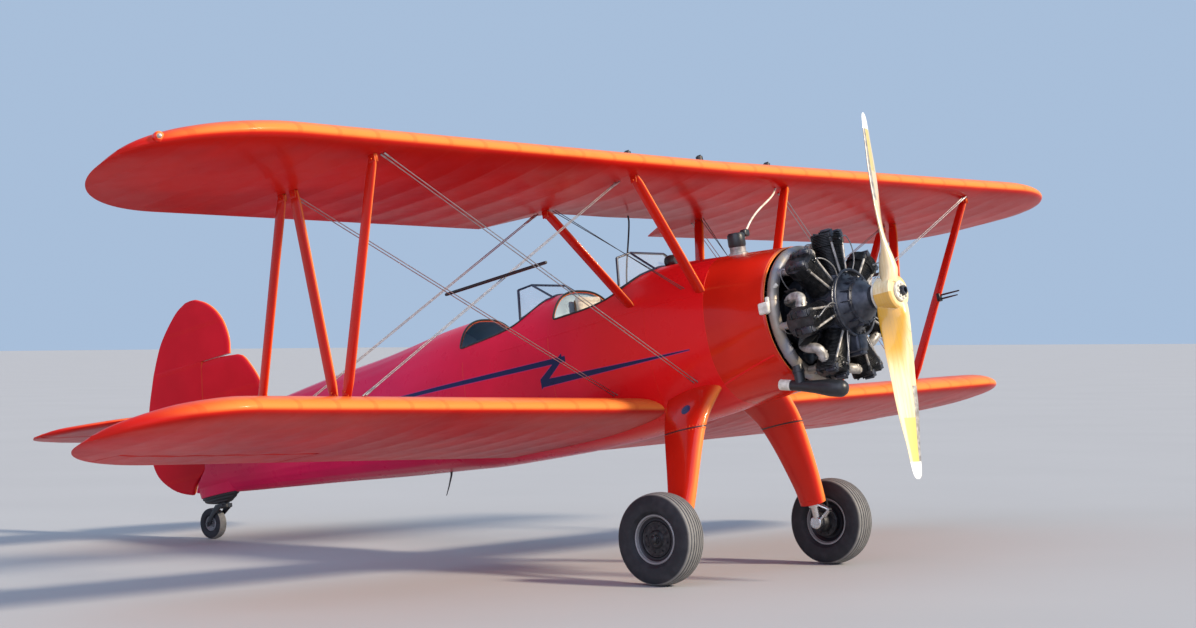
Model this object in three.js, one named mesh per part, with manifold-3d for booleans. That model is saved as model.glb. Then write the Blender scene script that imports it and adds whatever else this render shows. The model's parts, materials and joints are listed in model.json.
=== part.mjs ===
// A red two-seat biplane trainer with an open radial engine, parked on its tail wheel.
// Units are millimetres. Shapes are drawn about the propeller hub, on the thrust line:
// X points forward, Y to port and Z up. The parked group then tips the nose up and
// stands the wheels on z = 0.
import * as THREE from 'three';
import { mergeVertices } from 'three/addons/utils/BufferGeometryUtils.js';
import ManifoldModule from 'manifold-3d';

const manifoldLibrary = await ManifoldModule();
manifoldLibrary.setup();
const { Manifold, Mesh: ManifoldMesh } = manifoldLibrary;

const at = (x, y, z) => new THREE.Vector3(x, y, z);
const degrees = THREE.MathUtils.degToRad;
const mix = THREE.MathUtils.lerp;
const seat = 0.3;
const sides = [['right', -1], ['left', 1]];

// Driving dimensions
const chord = 1524;
const wings = {
  upper: { x: -1103, z: 1130, incidence: 4.05, dihedral: 0.41, halfSpan: 4900, root: 950 },
  lower: { x: -1748, z: -426, incidence: 3.07, dihedral: 1.57, halfSpan: 4650, root: 120 },
};
const frontSpar = 168;
const rearSpar = 972;
const mainWheel = { x: -1448, y: 988, z: -1335, radius: 306.5, halfWidth: 96, rim: 165, sides: 36 };
const tailWheel = { x: -6811, y: 0, z: -430, radius: 127, halfWidth: 42, rim: 62, sides: 24 };
const rudderHinge = { foot: at(-6820, 0, 13), head: at(-6685, 0, 892) };
const elevatorHinge = { x: -6670, z: 330, stations: [330, 1300] };
const tailHalfSpan = 1760;
const propeller = { radius: 1232, lean: 2.98, hubFront: 70, hubBack: -70 };
const firewall = -1200;
const cowlFront = -690;
const bulkhead = -2610;
const rearJoint = -3850;
const controlGap = 7;

// Finishes
const paint = (color, roughness = 0.3, metalness = 0) =>
  new THREE.MeshStandardMaterial({ color, roughness, metalness });
const red = paint(0xc01208);
const black = paint(0x15161a, 0.5, 0.2);
const rubber = paint(0x1d1e20, 0.85);
const silver = paint(0xb9bcc0, 0.35, 0.9);
const steel = paint(0x8d9196, 0.4, 0.9);
const varnishedWood = paint(0xd8a848, 0.35);
const leather = paint(0xd9cdb4, 0.7);
const glass = paint(0xcfe4ee, 0.1);

// Solids from rings of points, and booleans between them
function faces(points, triangles) {
  const geometry = new THREE.BufferGeometry();
  geometry.setAttribute('position', new THREE.Float32BufferAttribute(points.flatMap((p) => p.toArray()), 3));
  const six = ([a, b, c]) => points[a].dot(points[b].clone().cross(points[c]));
  const outward = triangles.reduce((sum, t) => sum + six(t), 0) > 0;
  geometry.setIndex(triangles.flatMap(([a, b, c]) => (outward ? [a, b, c] : [a, c, b])));
  return geometry;
}

function capFaces(ring, offset, flip) {
  const normal = at(0, 0, 0);
  ring.forEach((p, i) => normal.add(p.clone().cross(ring[(i + 1) % ring.length])));
  normal.normalize();
  const across = Math.abs(normal.x) > 0.9 ? at(0, 1, 0) : at(1, 0, 0);
  const u = across.sub(normal.clone().multiplyScalar(across.dot(normal))).normalize();
  const w = normal.clone().cross(u);
  const flat = ring.map((p) => new THREE.Vector2(p.dot(u), p.dot(w)));
  return THREE.ShapeUtils.triangulateShape(flat, []).map((t) => {
    const [a, b, c] = t.map((i) => flat[i]);
    const turn = (b.x - a.x) * (c.y - a.y) - (b.y - a.y) * (c.x - a.x);
    const [i, j, k] = t.map((n) => n + offset);
    return (turn > 0) === flip ? [i, k, j] : [i, j, k];
  });
}

function loft(rings) {
  const count = rings[0].length;
  const triangles = [];
  for (let r = 0; r + 1 < rings.length; r += 1) {
    for (let i = 0; i < count; i += 1) {
      const a = r * count + i;
      const b = r * count + ((i + 1) % count);
      triangles.push([a, b, b + count], [a, b + count, a + count]);
    }
  }
  triangles.push(...capFaces(rings[0], 0, true));
  triangles.push(...capFaces(rings.at(-1), count * (rings.length - 1), false));
  return faces(rings.flat(), triangles);
}

function toSolid(geometry) {
  const bare = new THREE.BufferGeometry();
  bare.setAttribute('position', geometry.getAttribute('position'));
  if (geometry.index) bare.setIndex(geometry.index);
  const merged = mergeVertices(bare, 1e-3);
  const index = Array.from(merged.index.array);
  const kept = [];
  for (let i = 0; i < index.length; i += 3) {
    const [a, b, c] = index.slice(i, i + 3);
    if (a !== b && b !== c && c !== a) kept.push(a, b, c);
  }
  return new Manifold(new ManifoldMesh({
    numProp: 3,
    vertProperties: new Float32Array(merged.attributes.position.array),
    triVerts: new Uint32Array(kept),
  }));
}

function toGeometry(solid) {
  const mesh = solid.getMesh();
  const geometry = new THREE.BufferGeometry();
  geometry.setAttribute('position', new THREE.BufferAttribute(mesh.vertProperties, 3));
  geometry.setIndex(new THREE.BufferAttribute(mesh.triVerts, 1));
  return geometry;
}

const asSolid = (shape) => (shape.isBufferGeometry ? toSolid(shape) : shape);
const crumb = 0.02;
const join = (...shapes) => Manifold.union(shapes.map(asSolid)).simplify(crumb);
const cut = (shape, ...tools) => Manifold.difference([asSolid(shape), ...tools.map(asSolid)]).simplify(crumb);
const overlapOf = (...shapes) => Manifold.intersection(shapes.map(asSolid)).simplify(crumb);

// Lathe about an axis direction, its profile given as [along, radius] pairs
function turned(profile, axis, segments) {
  const geometry = new THREE.LatheGeometry(profile.map(([a, r]) => new THREE.Vector2(r, a)), segments);
  return geometry.applyQuaternion(new THREE.Quaternion().setFromUnitVectors(at(0, 1, 0), axis));
}

function rod(start, end, radius, segments = 8, endRadius = radius) {
  const axis = end.clone().sub(start);
  const length = axis.length();
  return turned([[0, 0], [0, radius], [length, endRadius], [length, 0]], axis.normalize(), segments)
    .translate(start.x, start.y, start.z);
}

function box(x0, x1, y0, y1, z0, z1) {
  return new THREE.BoxGeometry(x1 - x0, y1 - y0, z1 - z0)
    .translate((x0 + x1) / 2, (y0 + y1) / 2, (z0 + z1) / 2);
}

// Flat plate with the given corner points and a thickness along its normal
function panel(corners, thickness) {
  const [a, b, c] = corners;
  const normal = b.clone().sub(a).cross(c.clone().sub(a)).setLength(thickness / 2);
  return loft([corners.map((p) => p.clone().sub(normal)), corners.map((p) => p.clone().add(normal))]);
}

// Hinge: an eye on a tongue that reaches forward into the fixed surface, and the notch for
// it in the moving surface
const hingeWidth = 18;
const tongueHalf = { wide: 4, thick: 5 };
function alongAxis(point, axis, radius, width) {
  const half = axis.clone().setLength(width / 2);
  return rod(point.clone().sub(half), point.clone().add(half), radius, 12);
}
function hingeEye(point, axis, radius, reach, upright = false) {
  const { wide, thick } = tongueHalf;
  const [y, z] = upright ? [thick, wide] : [wide, thick];
  const tongue = box(point.x, point.x + reach, point.y - y, point.y + y, point.z - z, point.z + z);
  return join(alongAxis(point, axis, radius, hingeWidth), tongue);
}
const hingeNotch = (point, axis, radius) => alongAxis(point, axis, radius, hingeWidth + 2 * seat);

// Parts and the scene graph
const airframe = new THREE.Group();

function add(name, shape, material, parent = airframe) {
  const geometry = shape.isBufferGeometry ? shape : toGeometry(shape);
  const mesh = new THREE.Mesh(geometry, material);
  mesh.name = name;
  parent.add(mesh);
  return mesh;
}

// Wings: a 13 per cent thick section with 2 per cent camber, its nose at the origin of the
// wing's own frame, which carries the incidence
const sectionStations = [0.01, 0.03, 0.07, 0.145, 0.28, 0.44, 0.6, 0.7, 0.85, 1];
const sectionHeight = (f, side) => {
  const camber = f < 0.2 ? 0.5 * (0.4 * f - f * f) : 0.03125 * (0.6 + 0.4 * f - f * f);
  const half = 0.65 * (0.2969 * Math.sqrt(f) - 0.126 * f - 0.3516 * f ** 2 + 0.2843 * f ** 3 - 0.1015 * f ** 4);
  return camber + side * Math.max(half, 0.0016);
};

function sectionAt(f, side) {
  const stations = [0, ...sectionStations];
  const next = stations.findIndex((s) => s >= f);
  if (next <= 0) return 0;
  const [a, b] = [stations[next - 1], stations[next]];
  const heights = [a === 0 ? 0 : sectionHeight(a, side), sectionHeight(b, side)];
  return mix(heights[0], heights[1], (f - a) / (b - a));
}

// One ring of a wing at span y. The nose and tail give the plan shape, and the depth scales
// its thickness. A tail cut short keeps the section's front third as it is.
const keptThird = 0.3;
function wingRing(y, nose, tail, depth, rise) {
  const shortTail = nose === 0 && tail < 0.97 * chord;
  const squeezed = (f) => mix(keptThird * chord, tail, (f - keptThird) / (1 - keptThird));
  const place = (f) => {
    if (!shortTail) return mix(nose, tail, f);
    return f <= keptThird ? f * chord : squeezed(f);
  };
  const point = (f, side) => at(-place(f), y, Math.abs(y) * rise + depth * sectionHeight(f, side));
  return [
    at(-nose, y, Math.abs(y) * rise),
    ...sectionStations.map((f) => point(f, 1)),
    ...[...sectionStations].reverse().map((f) => point(f, -1)),
  ];
}

// Plan shape of the tips: both edges are quarter ellipses that meet on the bow
const tips = {
  upper: { noseRun: 950, tailRun: 1020, bow: 600 },
  lower: { noseRun: 650, tailRun: 1020, bow: 810 },
};
const thinnestTip = 230;
const tipAngles = [0, 22, 40, 55, 67, 77, 84, 88.5];

function tipRings(name, side, rise) {
  const wing = wings[name];
  const tip = tips[name];
  const start = wing.halfSpan - tip.tailRun;
  return tipAngles.map((angle) => {
    const out = start + tip.tailRun * Math.sin(degrees(angle));
    const noseRatio = Math.max(0, (out - wing.halfSpan + tip.noseRun) / tip.noseRun);
    const nose = tip.bow * (1 - Math.sqrt(1 - noseRatio ** 2));
    const tail = chord - (chord - tip.bow) * (1 - Math.cos(degrees(angle)));
    const depth = Math.max(thinnestTip, chord * ((tail - nose) / chord) ** 0.9);
    return wingRing(side * out, nose, tail, depth, rise);
  });
}

const wingFrames = {};
Object.entries(wings).forEach(([name, wing]) => {
  const frame = new THREE.Group();
  frame.position.set(wing.x, 0, wing.z);
  frame.rotation.y = -degrees(wing.incidence);
  frame.updateMatrix();
  airframe.add(frame);
  wingFrames[name] = frame;
});

const rise = { upper: Math.tan(degrees(wings.upper.dihedral)), lower: Math.tan(degrees(wings.lower.dihedral)) };

function wingPanel(name, side, root = wings[name].root) {
  return loft([wingRing(side * root, 0, chord, chord, rise[name]), ...tipRings(name, side, rise[name])]);
}

// Point on a wing, aft of its nose, on the top (1) or bottom (-1) skin, with a lift off it
function onWing(name, y, aft, skin, lift = seat) {
  const height = Math.abs(y) * rise[name] + chord * sectionAt(aft / chord, skin) + skin * lift;
  return at(-aft, y, height).applyMatrix4(wingFrames[name].matrix);
}

// Upper centre section, with the cut-out in its tail over the cockpits: [span, tail]
const cutOut = [[950, 1524], [930, 1500], [840, 1360], [740, 1220], [620, 1140], [520, 1122]];
const centreRows = [
  ...cutOut.map(([y, tail]) => [-y, tail]),
  ...[...cutOut].reverse(),
];
add('upper_wing_center', loft(centreRows.map(([y, tail]) => wingRing(y, 0, tail, chord, rise.upper))),
  red, wingFrames.upper);

sides.forEach(([label, side]) => {
  add(`upper_wing_${label}`, wingPanel('upper', side, wings.upper.root + seat), red, wingFrames.upper);
});

// Fuselage sections: station, top, bottom, half width and squareness of the superellipse
const fuselageRows = [
  [cowlFront, 476, -474, 474, 2.0],
  [-900, 500, -490, 482, 2.1],
  [firewall, 530, -505, 465, 2.3],
  [-1600, 570, -535, 450, 2.5],
  [-2200, 585, -563, 436, 2.6],
  [bulkhead, 586, -566, 429, 2.6],
  [-2800, 585, -563, 425, 2.6],
  [-3600, 572, -525, 405, 2.5],
  [rearJoint, 562, -502, 388, 2.5],
  [-4500, 505, -440, 310, 2.4],
  [-5200, 470, -362, 228, 2.3],
  [-5900, 415, -288, 140, 2.2],
  [-6400, 392, -235, 78, 2.1],
  [-6790, 378, -185, 30, 2.0],
  [-6960, 368, -158, 14, 2.0],
].map(([x, top, bottom, halfWidth, power]) => ({ x, top, bottom, halfWidth, power }));
const fuselageSides = 28;
const sternEnd = -6960;

function fuselageRing({ x, top, bottom, halfWidth, power }, grow) {
  return Array.from({ length: fuselageSides }, (_, i) => {
    const angle = (2 * Math.PI * (i + 0.5)) / fuselageSides;
    const bend = (value) => Math.sign(value) * Math.abs(value) ** (2 / power);
    const height = Math.sin(angle) > 0 ? top + grow : -bottom + grow;
    return at(x, (halfWidth + grow) * bend(Math.cos(angle)), height * bend(Math.sin(angle)));
  });
}

// The fuselage between two of its stations, grown all round, its front face set back by the lead
function fuselageLoft(from, to, grow = 0, lead = 0) {
  const rows = fuselageRows.filter(({ x }) => x <= from && x >= to);
  return loft(rows.map((row) => fuselageRing({ ...row, x: row.x === from ? row.x - lead : row.x }, grow)));
}

const hull = toSolid(fuselageLoft(cowlFront, sternEnd, seat));
const clearOfHull = (shape) => cut(shape, hull);

// The cowl is an open-fronted shell round the back of the engine
const cowlSkin = 8;
const cowlCores = [5, -5].map((shift) => fuselageLoft(cowlFront, firewall, -cowlSkin).translate(shift, 0, 0));
add('accessory_cowl', cut(fuselageLoft(cowlFront, firewall).translate(seat, 0, 0), ...cowlCores), red);
// The stern ends on a slope ahead of the rudder's hinge, and reaches aft under its foot
const rudderNose = 22;
const hingeX = (z) => mix(rudderHinge.foot.x, rudderHinge.head.x,
  (z - rudderHinge.foot.z) / (rudderHinge.head.z - rudderHinge.foot.z));
const sternLine = [[-6952, -400], [-6952, -150], [-6905, -81], [hingeX(16) + rudderNose + controlGap, 16],
  [hingeX(900) + rudderNose + controlGap, 900], [-8000, 900], [-8000, -400]];
const behindStern = loft([-300, 300].map((y) => sternLine.map(([x, z]) => at(x, y, z))));
const rudderAxis = rudderHinge.head.clone().sub(rudderHinge.foot);
const rudderHingeAt = (z) => at(hingeX(z), 0, z);
const rudderEye = (z) => hingeEye(rudderHingeAt(z), rudderAxis, 13, rudderNose + 40, true);
const rudderHinges = { stern: 150, fin: 720 };
add('fuselage_rear', join(cut(fuselageLoft(rearJoint, sternEnd, 0, seat), behindStern),
  rudderEye(rudderHinges.stern)), red);

// The cockpits: the well under the deck, and the opening cut down through it, each given by
// its station limits, and the opening's side profile as [station, height]
const aboveDeck = 900;
const cockpits = {
  front: {
    well: [-1260, -2560],
    opening: [[-2590, aboveDeck], [-2571, 372], [-2212, 382], [-1990, 430], [-1690, 620], [-1690, aboveDeck]],
  },
  rear: {
    well: [bulkhead + 10, -3560],
    opening: [[-3530, aboveDeck], [-3505, 352], [-3074, 385], [-2900, 430], [-2650, 620], [-2650, aboveDeck]],
  },
};
const wallThickness = 28;
const floorHeight = -400;
const outside = 600;

function cockpitVoid({ well, opening }) {
  const inner = fuselageLoft(firewall, rearJoint, -wallThickness);
  const room = box(well[1], well[0], -outside, outside, floorHeight, aboveDeck);
  const doorway = loft([-outside, outside].map((y) => opening.map(([x, z]) => at(x, y, z))));
  return join(overlapOf(inner, room), doorway);
}

add('fuselage_front', cut(fuselageLoft(firewall, bulkhead), cockpitVoid(cockpits.front)), red);
add('fuselage_center', cut(fuselageLoft(bulkhead, rearJoint, 0, seat), cockpitVoid(cockpits.rear)), red);

// Seats on the cockpit floors: pan and back
const seats = { front: -2330, rear: -3300 };
const seatShape = { halfWidth: 200, length: 400, height: 330, backTop: 330 };
Object.entries(seats).forEach(([name, x]) => {
  const { halfWidth, length, height, backTop } = seatShape;
  const foot = floorHeight + seat;
  const pan = box(x - 30, x + length, -halfWidth, halfWidth, foot, foot + height);
  const backSide = [[x - 30, foot], [x + 60, foot], [x - 40, backTop], [x - 120, backTop]];
  const back = loft([-halfWidth, halfWidth].map((y) => backSide.map(([a, z]) => at(a, y, z))));
  add(`seat_${name}`, join(pan, back), leather);
});

// Windshields: a raked front pane and two side panes on the deck in front of each cockpit
const windshields = {
  front: { baseX: -1640, topX: -1930, base: 560, top: 715 },
  rear: { baseX: -2590, topX: -2870, base: 575, top: 692 },
};
const pane = { thickness: 6, baseHalf: 170, topHalf: 190, sideHalf: 300, sideBack: 40, sideDrop: 30 };
Object.entries(windshields).forEach(([name, { baseX, topX, base, top }]) => {
  const foot = base - 90;
  const backX = topX - pane.sideBack;
  const front = panel([at(baseX, -pane.baseHalf, foot), at(baseX, pane.baseHalf, foot),
    at(topX, pane.topHalf, top), at(topX, -pane.topHalf, top)], pane.thickness);
  const sidePanes = sides.map(([, side]) => panel([
    at(baseX, side * pane.baseHalf, foot), at(topX, side * pane.topHalf, top),
    at(backX, side * pane.sideHalf, top - pane.sideDrop),
    at(backX, side * pane.sideHalf, foot - 60)], pane.thickness));
  add(`windshield_${name}`, clearOfHull(join(front, ...sidePanes)), glass);
});

// Lower wings, each with its aileron cut out of it, so that the two share one section
const aileron = { from: 2560, to: 4180, hinge: 0.765 * chord, nose: 44, hinges: [2800, 3940] };

sides.forEach(([label, side]) => {
  const frame = wingFrames.lower;
  const whole = toSolid(wingPanel('lower', side));
  const axisPoint = (y) => at(-aileron.hinge, side * y, y * rise.lower
    + (chord * (sectionAt(0.765, 1) + sectionAt(0.765, -1))) / 2);
  const slot = (trim, radius) => {
    const [from, to] = [aileron.from - trim, aileron.to + trim];
    const barrel = rod(axisPoint(from), axisPoint(to), radius, 24);
    const [a, b] = [axisPoint(from), axisPoint(to)];
    const behind = (p) => [[0, 200], [0, -200], [-500, -200], [-500, 200]]
      .map(([dx, dz]) => at(p.x + dx, p.y, p.z + dz));
    return join(barrel, loft([behind(a), behind(b)]));
  };
  const toFrame = new THREE.Matrix4().copy(frame.matrix).invert();
  const localHull = hull.transform(toFrame.toArray());
  const axis = axisPoint(aileron.to).sub(axisPoint(aileron.from));
  const points = aileron.hinges.map(axisPoint);
  const eyes = points.map((p) => hingeEye(p, axis, 20, aileron.nose + 30));
  const notches = points.map((p) => hingeNotch(p, axis, aileron.nose + 2));
  const fixed = cut(whole, slot(controlGap, aileron.nose + controlGap), localHull);
  add(`lower_wing_${label}`, join(fixed, ...eyes), red, frame);
  add(`aileron_${label}`, cut(overlapOf(whole, slot(0, aileron.nose)), ...notches), red, frame);
});

// Streamlined strut between two ends. Each end gives its ring from offsets fore and aft
// (along the chord) and across, so that it can follow the skin that it stands on.
const streamline = [[0.5, 0], [0.38, 0.34], [0.12, 0.5], [-0.2, 0.36], [-0.5, 0.06],
  [-0.5, -0.06], [-0.2, -0.36], [0.12, -0.5], [0.38, -0.34]];
const strutBetween = (lowEnd, highEnd, width, thickness) => loft([lowEnd, highEnd].map((end) =>
  streamline.map(([along, across]) => end(along * width, across * thickness))));
const wingEnd = (name, y, aft, skin) => (along, across) => onWing(name, y + across, aft - along, skin);

const strutUpper = 3334;
const strutLower = 3179;
const strutWidth = 84;
const strutThickness = 34;
// Interplane struts: name, upper aft, lower aft
const interplane = [
  ['front', frontSpar, frontSpar],
  ['rear', rearSpar, rearSpar],
  ['diagonal', rearSpar - 105, frontSpar + 110],
];
sides.forEach(([label, side]) => {
  interplane.forEach(([name, upperAft, lowerAft]) => {
    const low = wingEnd('lower', side * strutLower, lowerAft, 1);
    const high = wingEnd('upper', side * strutUpper, upperAft, -1);
    add(`interplane_strut_${name}_${label}`, strutBetween(low, high, strutWidth, strutThickness), red);
  });
});

// Cabane struts, from the fuselage side out to the centre section: name, foot x and z, aft
const cabaneTop = 866;
const cabaneFoot = 400;
const cabane = [['front', -1217, 250, frontSpar], ['rear', -1835, 300, rearSpar]];
sides.forEach(([label, side]) => {
  cabane.forEach(([name, x, z, aft]) => {
    const low = (along, across) => at(x + along, side * cabaneFoot + across, z);
    const high = wingEnd('upper', side * cabaneTop, aft, -1);
    add(`cabane_strut_${name}_${label}`, clearOfHull(strutBetween(low, high, strutWidth, strutThickness)), red);
  });
});

// Main wires: a flying and a landing wire in each spar bay, and the spreader at their crossing
const wireRadius = 4;
const wireLift = seat + wireRadius;
const strutTopInset = 45;
const landingFoot = 3050;
// Bays: the flying wire's foot inside the hull and the aft place of its top, then the landing
// wire's top as [aft, span] and the aft place of its foot
const bays = {
  front: { foot: [-1400, 370, -323], topAft: 130, landingTop: [260, 930], footAft: 150 },
  rear: { foot: [-2090, 370, -287], topAft: 930, landingTop: [1040, 890], footAft: rearSpar },
};
const spreader = { radius: 11, overhang: 70 };

// Point on both lines, seen along X, taken on the middle of the two
function crossing([a, b], [c, d]) {
  const slope = (p, q) => (q.z - p.z) / (q.y - p.y);
  const y = (c.z - a.z + a.y * slope(a, b) - c.y * slope(c, d)) / (slope(a, b) - slope(c, d));
  const on = (p, q) => p.clone().lerp(q, (y - p.y) / (q.y - p.y));
  return on(a, b).add(on(c, d)).multiplyScalar(0.5);
}

sides.forEach(([label, side]) => {
  const wires = Object.entries(bays).map(([name, { foot, topAft, landingTop, footAft }]) => {
    const flying = [at(foot[0], side * foot[1], foot[2]),
      onWing('upper', side * (strutUpper - strutTopInset), topAft, -1, wireLift)];
    const landing = [onWing('upper', side * landingTop[1], landingTop[0], -1, wireLift),
      onWing('lower', side * landingFoot, footAft, 1, wireLift)];
    add(`flying_wire_${name}_${label}`, clearOfHull(rod(...flying, wireRadius, 6)), steel);
    add(`landing_wire_${name}_${label}`, rod(...landing, wireRadius, 6), steel);
    return { flying, landing };
  });
  // The spreader lies on both flying wires and on the front landing wire that passes between
  const [front, rear] = wires;
  const { landing } = front;
  const pointAt = ([a, b], y) => a.clone().lerp(b, (y - a.y) / (b.y - a.y));
  const lineAt = (share) => [0, 1].map((end) => front.flying[end].clone().lerp(rear.flying[end], share));
  let share = 0.4;
  for (let pass = 0; pass < 4; pass += 1) {
    const { y } = crossing(lineAt(share), landing);
    const [ahead, aft, middle] = [front.flying, rear.flying, landing].map((line) => pointAt(line, y).x);
    share = (middle - ahead) / (aft - ahead);
  }
  const between = lineAt(share);
  const meet = crossing(between, landing);
  const slopes = [between, landing].map(([a, b]) => Math.atan(Math.abs((b.z - a.z) / (b.y - a.y))));
  const clear = (wireRadius + spreader.radius + 0.1) / Math.cos(Math.max(...slopes));
  const [head, tail] = wires.map(({ flying }) => pointAt(flying, meet.y).add(at(0, 0, clear)));
  const along = head.clone().sub(tail).setLength(spreader.overhang);
  add(`wire_spreader_${label}`, rod(tail.sub(along), head.add(along), spreader.radius, 8), black);
});

// Main gear legs: height, middle y, middle x, width fore and aft, thickness
const legRows = [
  [-330, 285, -1470, 480, 170],
  [-470, 440, -1450, 420, 170],
  [-630, 560, -1432, 345, 140],
  [-1060, 725, -1420, 235, 112],
  [-1290, 800, -1440, 190, 96],
  [-1410, 815, -1448, 120, 70],
].map(([z, y, x, width, thickness]) => ({ z, y, x, width, thickness }));
sides.forEach(([label, side]) => {
  const rings = legRows.map(({ z, y, x, width, thickness }) => streamline.map(([along, across]) =>
    at(x + along * width, side * y + across * thickness, z)));
  const leg = clearOfHull(loft(rings));
  add(`gear_leg_${label}`, leg, red);
});

// Wheels: the tyre, the rim with a bore, and the stub axle with its brake plate. The bead
// sits at this share of the tyre's half width.
const beadEdge = 0.68;
function tyreProfile({ radius, halfWidth, rim }) {
  const crown = radius - halfWidth * 0.28;
  const outerHalf = [[beadEdge, rim], [0.93, rim + 0.2 * (crown - rim)], [1, rim + 0.5 * (crown - rim)],
    [0.9, crown], [0.62, radius - halfWidth * 0.07], [0.3, radius]];
  const outer = outerHalf.map(([along, r]) => [along * halfWidth, r]);
  const inner = outer.map(([along, r]) => [-along, r]);
  return [...inner, ...outer.reverse(), inner[0]];
}

function rimProfile({ halfWidth, rim }, bore) {
  const edge = halfWidth * beadEdge;
  const outer = rim - seat;
  const flange = 0.09 * rim;
  const dish = 0.25 * halfWidth;
  const half = [[edge, outer], [edge, outer - flange], [edge - dish, outer - 2 * flange], [edge - dish, bore * 2.2],
    [edge, bore * 2], [edge, bore]];
  return [...half, ...half.map(([along, r]) => [-along, r]).reverse(), half[0]];
}

const axleRadius = 30;
const brake = { inboard: 815, hub: 70, plate: 105, face: -66, end: 70, outer: 150 };
sides.forEach(([label, side]) => {
  const group = new THREE.Group();
  group.position.set(mainWheel.x, side * mainWheel.y, mainWheel.z);
  airframe.add(group);
  const across = at(0, side, 0);
  add(`main_tyre_${label}`, turned(tyreProfile(mainWheel), across, mainWheel.sides), rubber, group);
  add(`main_rim_${label}`, turned(rimProfile(mainWheel, axleRadius + 1), across, mainWheel.sides), silver, group);
  const inner = brake.inboard - mainWheel.y;
  const axle = turned([[inner, 0], [inner, brake.hub], [brake.face, brake.plate], [brake.face, axleRadius],
    [brake.end, axleRadius], [brake.end, 0]], across, 30);
  const leg = legRows.map(({ z, y, x, width, thickness }) => streamline.map(([along, sideways]) =>
    at(x + along * (width + 1), side * y + sideways * (thickness + 1), z)));
  const legTool = toSolid(loft(leg)).translate(-mainWheel.x, -side * mainWheel.y, -mainWheel.z);
  const [yLow, yHigh] = side > 0 ? [-brake.outer, outside] : [-outside, brake.outer];
  const outboard = box(-outside, outside, yLow, yHigh, -outside, outside);
  add(`main_axle_${label}`, overlapOf(cut(axle, legTool), outboard), steel, group);
});

// Tail wheel: a fixed knuckle under the stern, the fork that steers in it, and the wheel
const steerAxis = { x: -6650, bottom: -285 };
// The knuckle's boot, from the stern down to the fork: height, back, front, half width
const bootRows = [[steerAxis.bottom, -6740, -6570, 48], [-262, -6850, -6510, 52], [-170, -6920, -6390, 58],
  [-100, -6920, -6370, 58]];
const boot = loft(bootRows.map(([z, back, front, half]) => Array.from({ length: 20 }, (_, i) => {
  const angle = (Math.PI * i) / 10;
  return at(mix(back, front, 0.5 + 0.5 * Math.cos(angle)), half * Math.sin(angle), z);
})));
add('tail_wheel_knuckle', clearOfHull(boot), black);
const fork = { radius: 46, depth: 45, inner: 50, outer: 60, back: 45, front: 35, axle: 9, end: 24 };
const forkTop = steerAxis.bottom - 10;
const forkCrown = rod(at(steerAxis.x, 0, steerAxis.bottom - fork.depth), at(steerAxis.x, 0, steerAxis.bottom - seat),
  fork.radius, 20);
const tineSide = [[steerAxis.x + fork.front, forkTop], [steerAxis.x - fork.back, forkTop],
  [tailWheel.x - fork.end, tailWheel.z], [tailWheel.x, tailWheel.z - fork.end], [tailWheel.x + fork.end, tailWheel.z]];
const tines = sides.map(([, side]) => loft([fork.inner, fork.outer].map((y) => tineSide
  .map(([x, z]) => at(x, side * y, z)))));
const crown = box(steerAxis.x - fork.back, steerAxis.x + fork.front, -fork.outer, fork.outer,
  steerAxis.bottom - fork.depth, forkTop);
const tailAxle = rod(at(tailWheel.x, -fork.outer + 5, tailWheel.z), at(tailWheel.x, fork.outer - 5, tailWheel.z),
  fork.axle, 16);
add('tail_wheel_fork', join(forkCrown, crown, ...tines, tailAxle), black);
const tailGroup = new THREE.Group();
tailGroup.position.set(tailWheel.x, 0, tailWheel.z);
airframe.add(tailGroup);
add('tail_tyre', turned(tyreProfile(tailWheel), at(0, 1, 0), tailWheel.sides), rubber, tailGroup);
add('tail_rim', turned(rimProfile(tailWheel, 10), at(0, 1, 0), tailWheel.sides), silver, tailGroup);

// Tail surfaces: rings with a round nose and a straight taper to a thin tail
function slabRing(nose, tail, thickness, place) {
  const half = thickness / 2;
  const thin = 4;
  const section = [[0, 0], [half * 0.3, half * 0.75], [half, half], [nose - tail, thin], [nose - tail, -thin],
    [half, -half], [half * 0.3, -half * 0.75]];
  return section.map(([aft, across]) => place(nose - aft, across));
}

// Fin: height and front edge; its back edge follows the rudder's hinge
const finRows = [[360, -5910], [476, -5965], [644, -6030], [760, -6100], [850, -6180], [885, -6290]];
const finHalf = 26;
add('fin', join(rudderEye(rudderHinges.fin), clearOfHull(loft(finRows.map(([z, front]) => {
  const back = hingeX(z) + rudderNose + controlGap;
  const half = finHalf;
  const section = [[front, 0], [front - 30, half * 0.7], [front - 120, half], [back, half * 0.85],
    [back, -half * 0.85], [front - 120, -half], [front - 30, -half * 0.7]];
  return section.map(([x, y]) => at(x, y, z));
})))), red);

// Rudder: height, front edge, back edge. Above the fin its horn reaches forward.
const bladeFront = (z) => hingeX(z) + rudderNose;
const rudderRows = [
  [-165, -6985, -7010], [-133, -6965, -7125], [-81, -6932, -7240], [16, bladeFront(16), -7366],
  [100, bladeFront(100), -7424], [208, bladeFront(208), -7450], [377, bladeFront(377), -7450],
  [606, bladeFront(606), -7406], [893, bladeFront(893), -7290], [896, -6322, -7288], [1016, -6307, -7222],
  [1128, -6330, -7150], [1214, -6370, -7070], [1298, -6440, -6975], [1366, -6535, -6880], [1410, -6640, -6775],
];
const rudderBlade = loft(rudderRows.map(([z, front, back]) =>
  slabRing(front, back, Math.min(2 * rudderNose, 0.4 * (front - back)), (x, y) => at(x, y, z))));
const rudderNotch = (z) => hingeNotch(rudderHingeAt(z), rudderAxis, rudderNose + 2);
add('rudder', cut(rudderBlade, ...Object.values(rudderHinges).map(rudderNotch)), red);

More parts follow.
